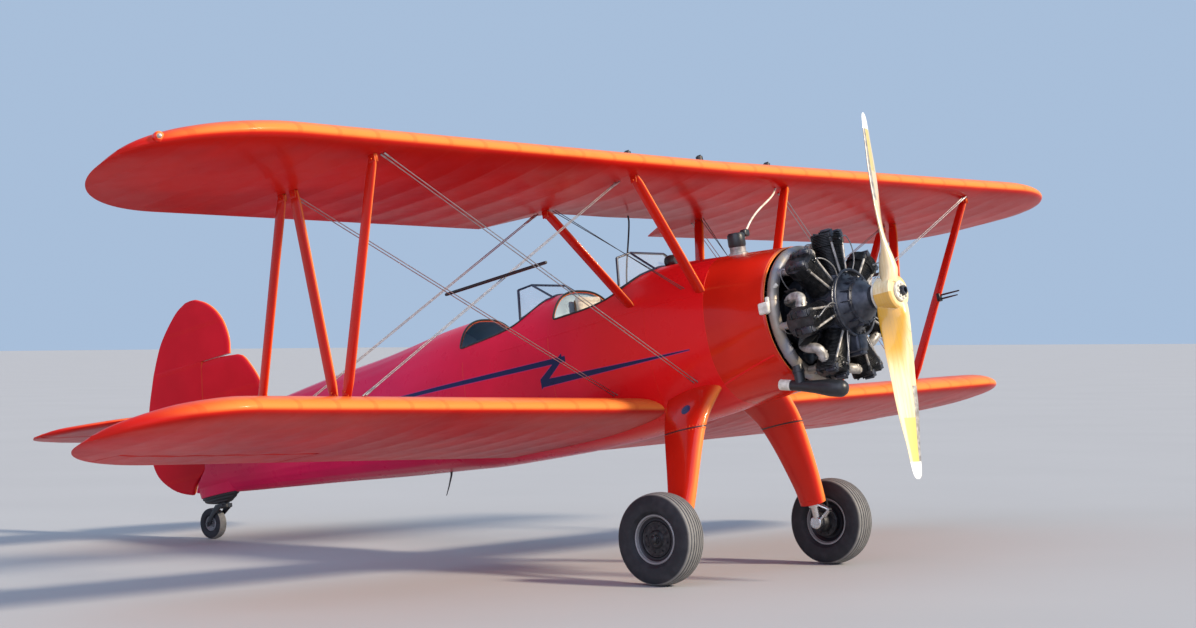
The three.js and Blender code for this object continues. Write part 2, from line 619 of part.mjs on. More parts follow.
// Stabilizer halves and elevators: span, front edge, back edge
const stabRows = [[1, -5760], [900, -5860], [1200, -5915], [1420, -6030], [1570, -6190], [1690, -6370], [1745, -6510],
  [tailHalfSpan, -6610]];
const elevatorRows = [[62, -6700], [200, -6990], [380, -7080], [900, -7090], [1240, -7030], [1440, -6965],
  [1590, -6905], [1690, -6835], [1752, -6740]];
const elevatorNose = 20;
const stabHalf = 24;
sides.forEach(([label, side]) => {
  const back = elevatorHinge.x + elevatorNose + controlGap;
  const rings = stabRows.map(([y, front]) => {
    const half = y < 1700 ? stabHalf : 0.75 * stabHalf;
    const depth = front - back;
    const section = [[front, 0], [front - depth * 0.08, half * 0.7], [front - depth * 0.3, half], [back, half * 0.85],
      [back, -half * 0.85], [front - depth * 0.3, -half], [front - depth * 0.08, -half * 0.7]];
    return section.map(([x, z]) => at(x, side * y, elevatorHinge.z + z));
  });
  const hinges = elevatorHinge.stations.map((y) => at(elevatorHinge.x, side * y, elevatorHinge.z));
  const sideways = at(0, 1, 0);
  const eyes = hinges.map((p) => hingeEye(p, sideways, 12, elevatorNose + 40));
  const notches = hinges.map((p) => hingeNotch(p, sideways, elevatorNose + 2));
  const blade = loft(elevatorRows.map(([y, tail]) => slabRing(elevatorHinge.x + elevatorNose, tail,
    2 * elevatorNose, (x, z) => at(x, side * y, elevatorHinge.z + z))));
  add(`stabilizer_${label}`, join(clearOfHull(loft(rings)), ...eyes), red);
  add(`elevator_${label}`, cut(blade, ...notches), red);
});

// Engine: crankcase and nose, seven finned cylinders with rocker boxes and push rods
const cylinderCount = 7;
const shaft = { radius: 20, end: -61 };
const cylinderStation = -420;
const barrelRadius = 74;
const head = { radius: 104, foot: 412, top: 490, port: 430 };
const fins = { count: 5, start: 208, spacing: 39, radius: 92 };
function cylinderProfile() {
  const finned = Array.from({ length: fins.count }, (_, i) => {
    const valley = fins.start + fins.spacing * i;
    return [[valley, barrelRadius], [valley + fins.spacing / 2, fins.radius]];
  }).flat();
  return [[170, 0], [170, barrelRadius], ...finned, [head.foot - 8, 80], [head.foot, head.radius],
    [head.top - 12, head.radius], [head.top, 70], [head.top, 0]];
}
// Crankcase from the firewall mount to the propeller shaft: station, radius
const crankcase = turned([[firewall + seat, 0], [firewall + seat, 120], [-900, 140], [-760, 190], [-660, 250],
  [-560, 262], [-500, 200], [-340, 200], [-295, 180], [-200, 125], [-130, 80], [-118, 60],
  [-118, shaft.radius], [shaft.end, shaft.radius], [shaft.end, 0]], at(1, 0, 0), 28);
const rocker = { y: 56, halfWidth: 24, back: -85, front: 87, foot: 455, top: 520 };
const pushRod = { ahead: 75, y: 68, radius: 8, foot: 150 };
const cylinders = Array.from({ length: cylinderCount }, (_, i) => {
  const angle = (2 * Math.PI * i) / cylinderCount;
  const out = at(0, Math.sin(angle), Math.cos(angle));
  const turn = new THREE.Quaternion().setFromAxisAngle(at(1, 0, 0), -angle);
  const placed = (geometry) => geometry.applyQuaternion(turn);
  const barrel = turned(cylinderProfile(), at(0, 0, 1), 12).translate(cylinderStation, 0, 0);
  const rockers = sides.map(([, side]) => box(cylinderStation + rocker.back, cylinderStation + rocker.front,
    side * rocker.y - rocker.halfWidth, side * rocker.y + rocker.halfWidth, rocker.foot, rocker.top));
  const rodX = cylinderStation + pushRod.ahead;
  const rods = sides.map(([, side]) => rod(at(rodX, side * pushRod.y, pushRod.foot),
    at(rodX, side * pushRod.y, rocker.foot + 5), pushRod.radius, 6));
  return join(...[barrel, ...rockers, ...rods].map(placed));
});
add('engine', join(crankcase, ...cylinders), black);

// Propeller: two wooden blades on a boss: radius, width, thickness
const bladeRows = [[90, 110, 100], [200, 138, 70], [350, 196, 48], [550, 238, 34], [750, 236, 26], [950, 205, 19],
  [1100, 160, 14], [1190, 108, 11], [propeller.radius, 40, 8]];
const pitch = 1550;
const fullPitchFrom = 260;
const spinner = new THREE.Group();
spinner.rotation.x = -degrees(propeller.lean);
airframe.add(spinner);
const blades = [0, Math.PI].map((half) => {
  const rings = bladeRows.map(([radius, width, thickness]) => {
    const angle = Math.atan(pitch / (2 * Math.PI * radius)) * Math.min(1, radius / fullPitchFrom);
    return streamline.map(([along, across]) => {
      const [s, t] = [along * width, Math.max(across, -0.2) * thickness];
      return at(s * Math.sin(angle) + t * Math.cos(angle), -s * Math.cos(angle) + t * Math.sin(angle), radius);
    });
  });
  return loft(rings).applyMatrix4(new THREE.Matrix4().makeRotationX(half));
});
const bossRadius = 118;
const boreRadius = 32;
const boss = turned([[propeller.hubBack, boreRadius], [propeller.hubBack, bossRadius], [propeller.hubFront, bossRadius],
  [propeller.hubFront, boreRadius], [propeller.hubBack, boreRadius]], at(1, 0, 0), 32);
const bore = rod(at(-200, 0, 0), at(200, 0, 0), boreRadius, 32);
add('propeller', cut(join(boss, ...blades), bore), varnishedWood, spinner);
// The hub: a sleeve over the shaft and through the boss, between two flanges
const hub = { sleeve: 31.4, flange: 98, back: -111, nose: 118, socket: shaft.radius + 0.5 };
const [flangeBack, flangeFront] = [propeller.hubBack - 0.4, propeller.hubFront + 0.4];
add('propeller_hub', turned([[shaft.end + seat, 0], [shaft.end + seat, hub.socket], [hub.back, hub.socket],
  [hub.back, 40], [flangeBack - 22, hub.flange], [flangeBack, hub.flange], [flangeBack, hub.sleeve],
  [flangeFront, hub.sleeve], [flangeFront, hub.flange], [flangeFront + 14, hub.flange], [flangeFront + 18, 38],
  [hub.nose, 34], [hub.nose, 0]], at(1, 0, 0), 24), steel, spinner);

// Exhaust: a collector ring behind the cylinders, a stub to each, and the pipe to starboard
const collector = { x: -640, ring: 430, tube: 40 };
const aroundEngine = (x, radius, angle) => at(x, radius * Math.sin(angle), radius * Math.cos(angle));
const ring = new THREE.TorusGeometry(collector.ring, collector.tube, 8, 42)
  .rotateY(Math.PI / 2).translate(collector.x, 0, 0);
const stubs = Array.from({ length: cylinderCount }, (_, i) => {
  const angle = (2 * Math.PI * i) / cylinderCount;
  return rod(aroundEngine(collector.x, head.port, angle),
    aroundEngine(cylinderStation - head.radius - seat, head.port, angle), 26, 8);
});
// The tail pipe runs aft under the lower right cylinder, with a neck up to the ring
const pipeFront = at(-335, -262, -563);
const pipeBack = at(-775, -303, -452);
const pipeBarrel = rod(pipeFront, pipeBack, 52, 16, 40);
const pipeNeck = rod(at(collector.x, -270, -335), pipeFront.clone().lerp(pipeBack, 0.66), 38, 12);
const noseCap = new THREE.SphereGeometry(51, 16, 8).translate(pipeFront.x, pipeFront.y, pipeFront.z);
add('exhaust_collector', cut(join(ring, ...stubs, pipeBarrel, noseCap, pipeNeck), hull), black);

// Stand the aircraft on its wheels: the main and tail tyres touch the same floor
const run = mainWheel.x - tailWheel.x;
const drop = mainWheel.z - tailWheel.z;
const groundAngle = Math.asin((mainWheel.radius - tailWheel.radius) / Math.hypot(run, drop)) - Math.atan2(drop, run);
const parked = new THREE.Group();
parked.rotation.y = -groundAngle;
parked.add(airframe);
const part = new THREE.Group();
part.add(parked);
part.updateMatrixWorld(true);
const bounds = new THREE.Box3().setFromObject(part, true);
const centre = bounds.getCenter(at(0, 0, 0));
parked.position.set(-centre.x, -centre.y, -bounds.min.z);
part.updateMatrixWorld(true);

export default part;
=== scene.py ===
import json
import math

import bmesh
import bpy
from mathutils import Matrix, Vector
from mathutils.bvhtree import BVHTree


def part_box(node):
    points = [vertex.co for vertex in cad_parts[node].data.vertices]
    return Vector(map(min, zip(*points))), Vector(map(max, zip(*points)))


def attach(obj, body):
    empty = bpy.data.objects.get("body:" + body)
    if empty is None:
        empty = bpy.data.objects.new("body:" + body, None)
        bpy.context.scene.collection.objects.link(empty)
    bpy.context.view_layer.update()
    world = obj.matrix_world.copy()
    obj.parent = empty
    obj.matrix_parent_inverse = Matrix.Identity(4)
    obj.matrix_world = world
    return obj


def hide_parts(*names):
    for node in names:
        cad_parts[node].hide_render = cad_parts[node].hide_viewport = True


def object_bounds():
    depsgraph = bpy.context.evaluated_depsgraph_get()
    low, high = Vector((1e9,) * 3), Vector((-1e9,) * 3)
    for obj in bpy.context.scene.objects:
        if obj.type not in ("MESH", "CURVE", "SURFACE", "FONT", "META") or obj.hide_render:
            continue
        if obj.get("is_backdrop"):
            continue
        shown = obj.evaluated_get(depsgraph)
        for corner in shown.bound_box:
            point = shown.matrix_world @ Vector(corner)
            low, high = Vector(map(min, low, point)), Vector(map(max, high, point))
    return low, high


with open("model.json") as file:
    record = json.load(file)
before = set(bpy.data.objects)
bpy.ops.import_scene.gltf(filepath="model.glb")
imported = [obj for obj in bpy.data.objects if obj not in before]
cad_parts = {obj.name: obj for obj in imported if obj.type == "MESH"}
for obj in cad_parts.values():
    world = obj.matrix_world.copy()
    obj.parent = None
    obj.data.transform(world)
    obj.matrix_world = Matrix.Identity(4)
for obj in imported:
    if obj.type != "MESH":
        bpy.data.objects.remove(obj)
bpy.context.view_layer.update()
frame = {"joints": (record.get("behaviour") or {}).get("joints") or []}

# The camera stands off the right wing tip, ahead of the aircraft and at eye height, and looks
# back at it through a long lens. All lengths here are metres.
camera_place = Vector((12.637, -14.0371, 1.6157))
camera_turn = {"yaw": math.radians(129.47), "pitch": math.radians(0.57), "roll": math.radians(-0.39)}
flat_run = math.cos(camera_turn["pitch"])
gaze = Vector((math.cos(camera_turn["yaw"]) * flat_run, math.sin(camera_turn["yaw"]) * flat_run,
               math.sin(camera_turn["pitch"])))
level = gaze.cross(Vector((0, 0, 1))).normalized()
right = level * math.cos(camera_turn["roll"]) + level.cross(gaze) * math.sin(camera_turn["roll"])
camera_lens = bpy.data.cameras.new("camera")
camera_lens.lens = 76.2
camera_lens.sensor_width = 36.0
camera_lens.clip_end = 900.0
camera = bpy.data.objects.new("camera", camera_lens)
camera.matrix_world = Matrix.Translation(camera_place) @ Matrix(
    (right, right.cross(gaze), -gaze)).transposed().to_4x4()
bpy.context.collection.objects.link(camera)
bpy.context.scene.camera = camera

# The studio: a plain pale floor, a pale sky-cool surround, a soft key light that stands ahead of
# the nose and high, so that the leading edges are bright and the right side of the fuselage is in
# open shade, and a weak wide fill from that side.
surround = bpy.context.scene.world or bpy.data.worlds.new("surround")
bpy.context.scene.world = surround
surround.use_nodes = True
surround_light = surround.node_tree.nodes["Background"]
surround_light.inputs["Color"].default_value = (0.56, 0.74, 1.0, 1.0)
surround_light.inputs["Strength"].default_value = 0.70
bpy.context.scene.view_settings.view_transform = "Standard"


def soft_light(name, direction, strength, spread, tint):
    """A sun lamp that shines from a direction, with an angle that softens its shadows."""
    lamp = bpy.data.lights.new(name, "SUN")
    lamp.energy = strength
    lamp.angle = math.radians(spread)
    lamp.color = tint
    stand = bpy.data.objects.new(name, lamp)
    stand.rotation_euler = Vector(direction).to_track_quat("Z", "Y").to_euler()
    bpy.context.collection.objects.link(stand)


soft_light("key_light", (0.943, 0.240, 0.59), 5.2, 8.0, (1.0, 0.87, 0.68))
soft_light("side_fill", (0.25, -0.90, 0.42), 1.5, 70.0, (0.80, 0.80, 1.0))

floor_reach = 420.0
floor_sheet = bmesh.new()
bmesh.ops.create_grid(floor_sheet, x_segments=2, y_segments=2, size=floor_reach)
floor_mesh = bpy.data.meshes.new("studio_floor")
floor_sheet.to_mesh(floor_mesh)
floor_sheet.free()
studio_floor = bpy.data.objects.new("studio_floor", floor_mesh)
bpy.context.collection.objects.link(studio_floor)
studio_floor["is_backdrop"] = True


class Wire:
    """An output in a material's nodes, which can be added and multiplied as a number is."""

    def __init__(self, socket):
        self.socket = socket

    def node(self, kind, settings, sockets, out=0):
        """A new node in the same material: its settings first, then its values and links."""
        tree = self.socket.id_data
        made = tree.nodes.new(kind)
        for key, value in settings.items():
            if key != "stops":
                setattr(made, key, value)
                continue
            stops = made.color_ramp.elements
            while len(stops) < len(value):
                stops.new(1.0)
            for stop, (place, shade) in zip(stops, value):
                stop.position = place
                stop.color = shade
        for key, value in sockets.items():
            if isinstance(value, Wire):
                tree.links.new(value.socket, made.inputs[key])
            else:
                made.inputs[key].default_value = value
        return Wire(made.outputs[out])

    def math(self, operation, *values):
        return self.node("ShaderNodeMath", {"operation": operation}, dict(enumerate(values)))

    def __add__(self, other):
        return self.math("ADD", self, other)

    __radd__ = __add__

    def __sub__(self, other):
        return self.math("SUBTRACT", self, other)

    def __rsub__(self, other):
        return self.math("SUBTRACT", other, self)

    def __mul__(self, other):
        return self.math("MULTIPLY", self, other)

    __rmul__ = __mul__

    def __truediv__(self, other):
        return self.math("DIVIDE", self, other)

    def __abs__(self):
        return self.math("ABSOLUTE", self)

    def __mod__(self, other):
        return self.math("FLOORED_MODULO", self, other)

    def __lt__(self, other):
        return self.math("LESS_THAN", self, other)

    def __gt__(self, other):
        return self.math("GREATER_THAN", self, other)

    def axes(self):
        """The three numbers of a vector."""
        first = self.node("ShaderNodeSeparateXYZ", {}, {"Vector": self})
        return [Wire(out) for out in first.socket.node.outputs]

    def sine(self):
        return self.math("SINE", self)

    def noise(self, scale, detail=3.0, roughness=0.5):
        """Grey noise around one half, with so many lumps to the metre."""
        return self.node("ShaderNodeTexNoise", {}, {"Vector": self, "Scale": scale, "Detail": detail,
                                                    "Roughness": roughness})

    def faded(self, low, high):
        """0 below the low value, 1 above the high one, and smooth between."""
        return self.node("ShaderNodeMapRange", {"interpolation_type": "SMOOTHSTEP"},
                         {"Value": self, "From Min": low, "From Max": high})

    def blended(self, first, second):
        """Two colours mixed by this share."""
        return self.node("ShaderNodeMix", {"data_type": "RGBA"}, {"Factor": self, 6: first, 7: second}, 2)

    def bumped(self, distance, strength):
        """A surface normal from this height, in metres at the distance given."""
        return self.node("ShaderNodeBump", {}, {"Height": self, "Distance": distance, "Strength": strength})


def new_finish(name, **fixed):
    """A material, its shader, and the place on the piece in metres. The fixed values are the
    shader's own, the same all over."""
    made = bpy.data.materials.new(name)
    made.use_nodes = True
    shader = made.node_tree.nodes["Principled BSDF"]
    for key, value in fixed.items():
        shader.inputs[key.replace("_", " ")].default_value = value
    place = Wire(made.node_tree.nodes.new("ShaderNodeTexCoord").outputs["Object"])
    return made, shader, place


def feed(shader, wires):
    """Joins each wire to the shader's socket of that name."""
    for key, wire in wires.items():
        shader.id_data.links.new(wire.socket, shader.inputs[key])


def plain_finish(name, lumps, dark, light, **fixed):
    """A material clouded between two shades by a noise of so many lumps to the metre and details."""
    finish, shader, place = new_finish(name, **fixed)
    feed(shader, {"Base Color": place.noise(*lumps).blended(dark + (1,), light + (1,))})
    return finish


def worn_finish(name, lumps, dark, light, gloss, relief, fade=None, grain=None, **fixed):
    """A material whose colour and roughness share a noise. Its relief is in a finer grain, if given."""
    finish, shader, place = new_finish(name, **fixed)
    wear = place.noise(*lumps)
    shade = wear.faded(*fade) if fade else wear
    height = place.noise(*grain) if grain else wear
    feed(shader, {
        "Base Color": shade.blended(dark + (1,), light + (1,)),
        "Roughness": wear * gloss[0] + gloss[1],
        "Normal": height.bumped(*relief),
    })
    return finish


floor_mesh.materials.append(plain_finish("pale_floor", (0.35, 4.0), (0.35, 0.35, 0.36), (0.39, 0.39, 0.40),
                                         Roughness=0.75))

# The fuselage: steel tube and wooden fairings under metal side panels ahead of the cockpits
# and doped fabric over stringers behind them. The skin is drawn about the propeller hub, X
# forward along the thrust line, Y to port and Z up.
spin_joint = next(joint for joint in frame["joints"] if joint["name"] == "propeller_spin")
thrust_line = Vector(spin_joint["axis"]).normalized()
if thrust_line.x < 0:
    thrust_line.negate()
datum = Matrix.Translation(Vector(spin_joint["pos_m"])) @ Matrix(
    (thrust_line, Vector((0, 1, 0)), thrust_line.cross(Vector((0, 1, 0))))).transposed().to_4x4()


def between(rows, place):
    """The other columns of a table at a place in its first one, on smooth curves through its rows."""
    ordered = sorted(rows)
    place = min(max(place, ordered[0][0]), ordered[-1][0])
    k = next(i for i in range(len(ordered) - 1) if place <= ordered[i + 1][0])
    run = ordered[k + 1][0] - ordered[k][0]
    t = (place - ordered[k][0]) / run

    def slope(i, column):
        before = ordered[max(i - 1, 0)]
        after = ordered[min(i + 1, len(ordered) - 1)]
        return (after[column] - before[column]) / (after[0] - before[0])

    found = []
    for column in range(1, len(ordered[0])):
        a = ordered[k][column]
        b = ordered[k + 1][column]
        lead = run * slope(k, column)
        trail = run * slope(k + 1, column)
        found.append((2 * t ** 3 - 3 * t ** 2 + 1) * a + (t ** 3 - 2 * t ** 2 + t) * lead
                     + (3 * t ** 2 - 2 * t ** 3) * b + (t ** 3 - t ** 2) * trail)
    return found


def steps(first, last, count):
    """Even numbers from the first to the last."""
    return [first + (last - first) * i / (count - 1) for i in range(count)]


def grown_row(bm, line, edges, points):
    """Extrudes a row of edges to the next row of points, and gives back its vertices and edges."""
    grown = bmesh.ops.extrude_edge_only(bm, edges=edges)["geom"]
    fresh = {item for item in grown if isinstance(item, bmesh.types.BMVert)}
    edges = [item for item in grown if isinstance(item, bmesh.types.BMEdge) and set(item.verts) <= fresh]
    line = [next(edge.other_vert(old) for edge in old.link_edges if edge.other_vert(old) in fresh)
            for old in line]
    for vert, point in zip(line, points):
        vert.co = point
    return line, edges


def skin(rings, start=True, end=True, around=False):
    """A mesh over rings of points: its ends are filled, or it runs on from last to first."""
    bm = bmesh.new()
    ring = bmesh.ops.create_circle(bm, segments=len(rings[0]), radius=1.0)["verts"]
    for vert, point in zip(ring, rings[0]):
        vert.co = point
    edges = bm.edges[:]
    first_edges = edges
    if start and not around:
        bm.faces.new(ring)
    for points in rings[1:]:
        ring, edges = grown_row(bm, ring, edges, points)
    if around:
        bmesh.ops.bridge_loops(bm, edges=first_edges + edges)
    elif end:
        bm.faces.new(ring)
    bmesh.ops.remove_doubles(bm, verts=bm.verts, dist=1e-5)
    bmesh.ops.recalc_face_normals(bm, faces=bm.faces)
    return bm


def gathered(parts):
    """One mesh made of several."""
    whole = bmesh.new()
    for part in parts:
        carrier = bpy.data.meshes.new("carrier")
        part.to_mesh(carrier)
        part.free()
        whole.from_mesh(carrier)
        bpy.data.meshes.remove(carrier)
    return whole


both_sides = (("right", -1), ("left", 1))


def piece(name, bm, finishes, stands_for=(), crease=35.0, body="airframe"):
    """Puts a mesh, or several as one, in place on the aircraft as a named piece that rides on a body."""
    if isinstance(bm, list):
        bm = gathered(bm)
    bmesh.ops.transform(bm, matrix=datum, verts=bm.verts)
    mesh = bpy.data.meshes.new(name)
    bm.to_mesh(mesh)
    bm.free()
    mesh.polygons.foreach_set("use_smooth", [True] * len(mesh.polygons))
    mesh.set_sharp_from_angle(angle=math.radians(crease))
    for finish in finishes:
        mesh.materials.append(finish)
    made = bpy.data.objects.new(name, mesh)
    bpy.context.collection.objects.link(made)
    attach(made, body)
    if stands_for:
        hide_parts(*stands_for)
    return made


# The fuselage at each station: top, bottom, half width, and how square the section is. The rows of
# the stern say how far aft the skin reaches at each height.
fuselage_rows = [
    (-0.690, 0.476, -0.474, 0.474, 2.0), (-0.900, 0.500, -0.490, 0.482, 2.1),
    (-1.200, 0.530, -0.505, 0.465, 2.3), (-1.600, 0.570, -0.535, 0.450, 2.5),
    (-2.200, 0.585, -0.563, 0.436, 2.6), (-2.610, 0.586, -0.566, 0.429, 2.6),
    (-2.800, 0.585, -0.563, 0.425, 2.6), (-3.600, 0.572, -0.525, 0.405, 2.5),
    (-3.850, 0.562, -0.502, 0.388, 2.5), (-4.500, 0.505, -0.440, 0.310, 2.4),
    (-5.200, 0.470, -0.362, 0.228, 2.3), (-5.900, 0.415, -0.288, 0.140, 2.2),
    (-6.400, 0.392, -0.235, 0.078, 2.1), (-6.790, 0.378, -0.185, 0.030, 2.0),
    (-6.960, 0.368, -0.158, 0.014, 2.0),
]
stern_rows = [(-0.400, -6.952), (-0.150, -6.952), (-0.081, -6.905), (0.016, -6.7905), (0.900, -6.6548)]
cowl_front, firewall, bulkhead, rear_joint, stern_end = -0.690, -1.200, -2.610, -3.850, -6.960
stringers = 26
stringer_sag = 0.0045
fabric_start = (-3.45, -4.1)


def straight(rows, place):
    """The second column of a table at a place in its first one, on straight lines."""
    place = min(max(place, rows[0][0]), rows[-1][0])
    for (a, value), (b, later) in zip(rows, rows[1:]):
        if place <= b:
            return value + (later - value) * (place - a) / (b - a)


def hull_ring(x, grow=0.0, count=104):
    """Points round the fuselage at a station. Where it is fabric, it sags between stringers."""
    top, bottom, half, power = between(fuselage_rows, x)
    fabric = min(max((fabric_start[0] - x) / (fabric_start[0] - fabric_start[1]), 0.0), 1.0)
    points = []
    for i in range(count):
        angle = 2 * math.pi * (i + 0.5) / count
        share = (stringers * (angle / (2 * math.pi))) % 1.0
        sag = fabric * stringer_sag * 4 * share * (1 - share) * min(half / 0.2, 1.0)
        across = math.copysign(abs(math.cos(angle)) ** (2 / power), math.cos(angle))
        up = math.copysign(abs(math.sin(angle)) ** (2 / power), math.sin(angle))
        height = top if up > 0 else -bottom
        z = (height + grow - sag) * up
        points.append(Vector((max(x, straight(stern_rows, z)), (half + grow - sag) * across, z)))
    return points


def cut_away(bm, planes):
    """Takes out the part of a mesh that lies ahead of all the planes, given as point and normal."""
    inside = set(bm.faces)
    for point, normal in planes:
        near = list(inside) + list({edge for face in inside for edge in face.edges}) \
            + list({vert for face in inside for vert in face.verts})
        split = bmesh.ops.bisect_plane(bm, geom=near, plane_co=point, plane_no=normal, dist=1e-6)["geom"]
        inside = {item for item in split if isinstance(item, bmesh.types.BMFace)
                  and (item.calc_center_median() - point).dot(normal) > 0}
    bmesh.ops.delete(bm, geom=list(inside), context="FACES")


# The red of the whole aircraft, dope on fabric and enamel on metal, clouded a little by age. Faces
# that stand to the front and the sky are mixed towards orange, as they look in the photo. That is
# most likely the light of a low sun, and it is painted here.
sunlit_side = (0.82, 0.22, 0.53)
sunlit_red = (0.84, 0.235, 0.050, 1.0)
sunlit_share = 0.92


def red_coat(name, coat, tint, gloss=0.12):
    """A glossy red material, its shader, the place on it in metres, and its colour."""
    finish, shader, place = new_finish(name, Coat_Weight=coat, Coat_Roughness=0.10,
                                       Specular_IOR_Level=gloss)
    deep = tuple(0.84 * c for c in tint) + (1.0,)
    fresh = (tint[0] * 1.06, tint[1] * 1.3, tint[2] * 1.2, 1.0)
    clouded = place.noise(1.3, 4.0).faded(0.35, 0.65).blended(deep, fresh)
    facing = Wire(place.socket.node.outputs["Normal"])
    stands = facing.node("ShaderNodeVectorMath", {"operation": "DOT_PRODUCT"}, {0: facing, 1: sunlit_side},
                         1)
    return finish, shader, place, (stands.faded(0.28, 0.93) * sunlit_share).blended(clouded, sunlit_red)


def woven(place, pitch):
    """The height of a plain weave, from -1 to 1, with so many metres from thread to thread."""
    x, y, z = (axis * (2 * math.pi / pitch) for axis in place.axes())
    return (x + z).sine() * y.sine()


weave_pitch = 0.0035


def striped(x, z, rows):
    """1 on a painted line given as rows of start x and z, end x and z, and half widths there."""
    line = None
    for x0, z0, x1, z1, half0, half1 in rows:
        along = (x - x0) / (x1 - x0)
        width = along * (half1 - half0) + half0
        off = abs(z - z0 - along * (z1 - z0))
        on = (off < width) * (along > 0.0) * (along < 1.0)
        line = on if line is None else line.math("MAXIMUM", line, on)
    return line


def on_datum(place):
    """A place on the parked aircraft, as measured from the hub along the thrust line."""
    return place.node("ShaderNodeMapping", {"vector_type": "TEXTURE"}, {
        "Vector": place, "Location": tuple(spin_joint["pos_m"]), "Rotation": tuple(datum.to_euler())})


# The fuselage red leans to magenta, a painted reflection of the sky. That painted reflection gives way to
# plain red towards the nose and grows more purple towards the tail. The coat carries the dark blue stripe
# with its zigzag.
hull_stripe = [
    (-6.20, 0.168, -2.47, 0.070, 0.004, 0.020), (-2.73, -0.066, -2.50, 0.090, 0.036, 0.024),
    (-2.73, -0.062, -1.36, -0.094, 0.027, 0.003),
]
navy = (0.012, 0.016, 0.075, 1.0)
stripe_edge = (0.36, 0.05, 0.26, 1.0)
hull_finish, hull_shader, hull_at, hull_shade = red_coat("red_hull_coat", 0.17, (0.80, 0.004, 0.038))
hull_x, _, hull_z = on_datum(hull_at).axes()
# Painted reflection: plain red towards the nose, purple sky reflection towards the tail.
hull_unreflected_ahead = hull_x.faded(-2.75, -2.00) * 0.85
hull_shade = hull_unreflected_ahead.blended(hull_shade, (0.76, 0.011, 0.008, 1))
hull_sky_reflection_aft = (0.0 - hull_x).faded(3.00, 4.60) * 0.55
hull_shade = hull_sky_reflection_aft.blended(hull_shade, (0.50, 0.010, 0.090, 1))
hull_line = striped(hull_x, hull_z, hull_stripe)
hull_edge = striped(hull_x, hull_z, [row[:4] + (row[4] + 0.004, row[5] + 0.004) for row in hull_stripe])
fabric_share = (0.0 - hull_x).faded(3.50, 3.54)
hull_waves = hull_at.noise(5.0, 2.0) * 0.5
hull_weave = woven(hull_at, weave_pitch) * fabric_share * 0.006
feed(hull_shader, {
    "Base Color": hull_line.blended((hull_edge * 0.55).blended(hull_shade, stripe_edge), navy),
    "Roughness": hull_at.noise(9.0, 4.0) * 0.14 + 0.22,
    "Normal": (hull_waves + hull_weave).bumped(0.004, 0.35),
})

lining_finish = plain_finish("cockpit_lining", (14.0, 5.0), (0.36, 0.50, 0.60), (0.48, 0.62, 0.72),
                             Roughness=0.6)

# The side profile of each cockpit opening as station and height. What lies over it is cut out of
# the deck, and the skin gets a wall of its own thickness, pale blue inside.
front_opening = [(-2.590, 0.800), (-2.573, 0.410), (-2.571, 0.372), (-2.530, 0.373), (-2.212, 0.382),
                 (-1.990, 0.430),
                 (-1.690, 0.620)]
rear_opening = [(-3.530, 0.800), (-3.508, 0.390), (-3.505, 0.352), (-3.460, 0.3535), (-3.074, 0.385),
                (-2.900, 0.430),
                (-2.650, 0.620)]
wall_depth = 0.014


def rounded(points, passes=3):
    """A line of points with its corners cut off, again and again."""
    for _ in range(passes):
        softer = [points[0]]
        for a, b in zip(points, points[1:]):
            softer.append(tuple(p * 0.75 + q * 0.25 for p, q in zip(a, b)))
            softer.append(tuple(p * 0.25 + q * 0.75 for p, q in zip(a, b)))
        points = softer + [points[-1]]
    return points


def opening_planes(side):
    """The planes over a side profile, so that what lies above them all is cut away."""
    planes = []
    for (x0, z0), (x1, z1) in zip(rounded(side), rounded(side)[1:]):
        planes.append((Vector((x0, 0.0, z0)), Vector((z0 - z1, 0.0, x1 - x0)).normalized()))
    planes.append((Vector((side[-1][0], 0.0, side[-1][1])), Vector((-1.0, 0.0, 0.02)).normalized()))
    return planes


def edge_loop(bm, inside):
    """The points along the open edge of a mesh that passes a test, in order and from its rearmost point."""
    open_edges = [edge for edge in bm.edges if edge.is_boundary and all(inside(v.co) for v in edge.verts)]
    links = {}
    for edge in open_edges:
        for vert in edge.verts:
            links.setdefault(vert, []).append(edge.other_vert(vert))

    def rearmost(vert):
        return tuple(round(c, 5) for c in vert.co)

    start = min(links, key=rearmost)
    walk, last = [start], None
    while True:
        onward = sorted((vert for vert in links[walk[-1]] if vert is not last), key=rearmost)
        if not onward or onward[0] is start or len(walk) > len(links):
            break
        last = walk[-1]
        walk.append(onward[0])
    return [vert.co.copy() for vert in walk]


fuselage_spans = [
    ("fuselage_front_skin", firewall, bulkhead, ("fuselage_front",), front_opening),
    ("fuselage_center_skin", bulkhead - 0.0003, rear_joint, ("fuselage_center",), rear_opening),
    ("fuselage_rear_skin", rear_joint - 0.0003, stern_end, ("fuselage_rear",), None),
]
coaming_lines = {}
for span_name, span_from, span_to, span_nodes, span_opening in fuselage_spans:
    count = 2 + int((span_from - span_to) / 0.05)
    hull_part = skin([hull_ring(x) for x in steps(span_from, span_to, count)])
    if span_opening:
        cut_away(hull_part, opening_planes(span_opening))
        coaming_lines[span_name] = edge_loop(hull_part, lambda p: p.z > 0.3)
    hull_piece = piece(span_name, hull_part, [hull_finish, lining_finish], span_nodes)
    if span_opening:
        wall = hull_piece.modifiers.new("wall", "SOLIDIFY")
        wall.thickness = wall_depth
        wall.offset = -1.0
        wall.material_offset = 1

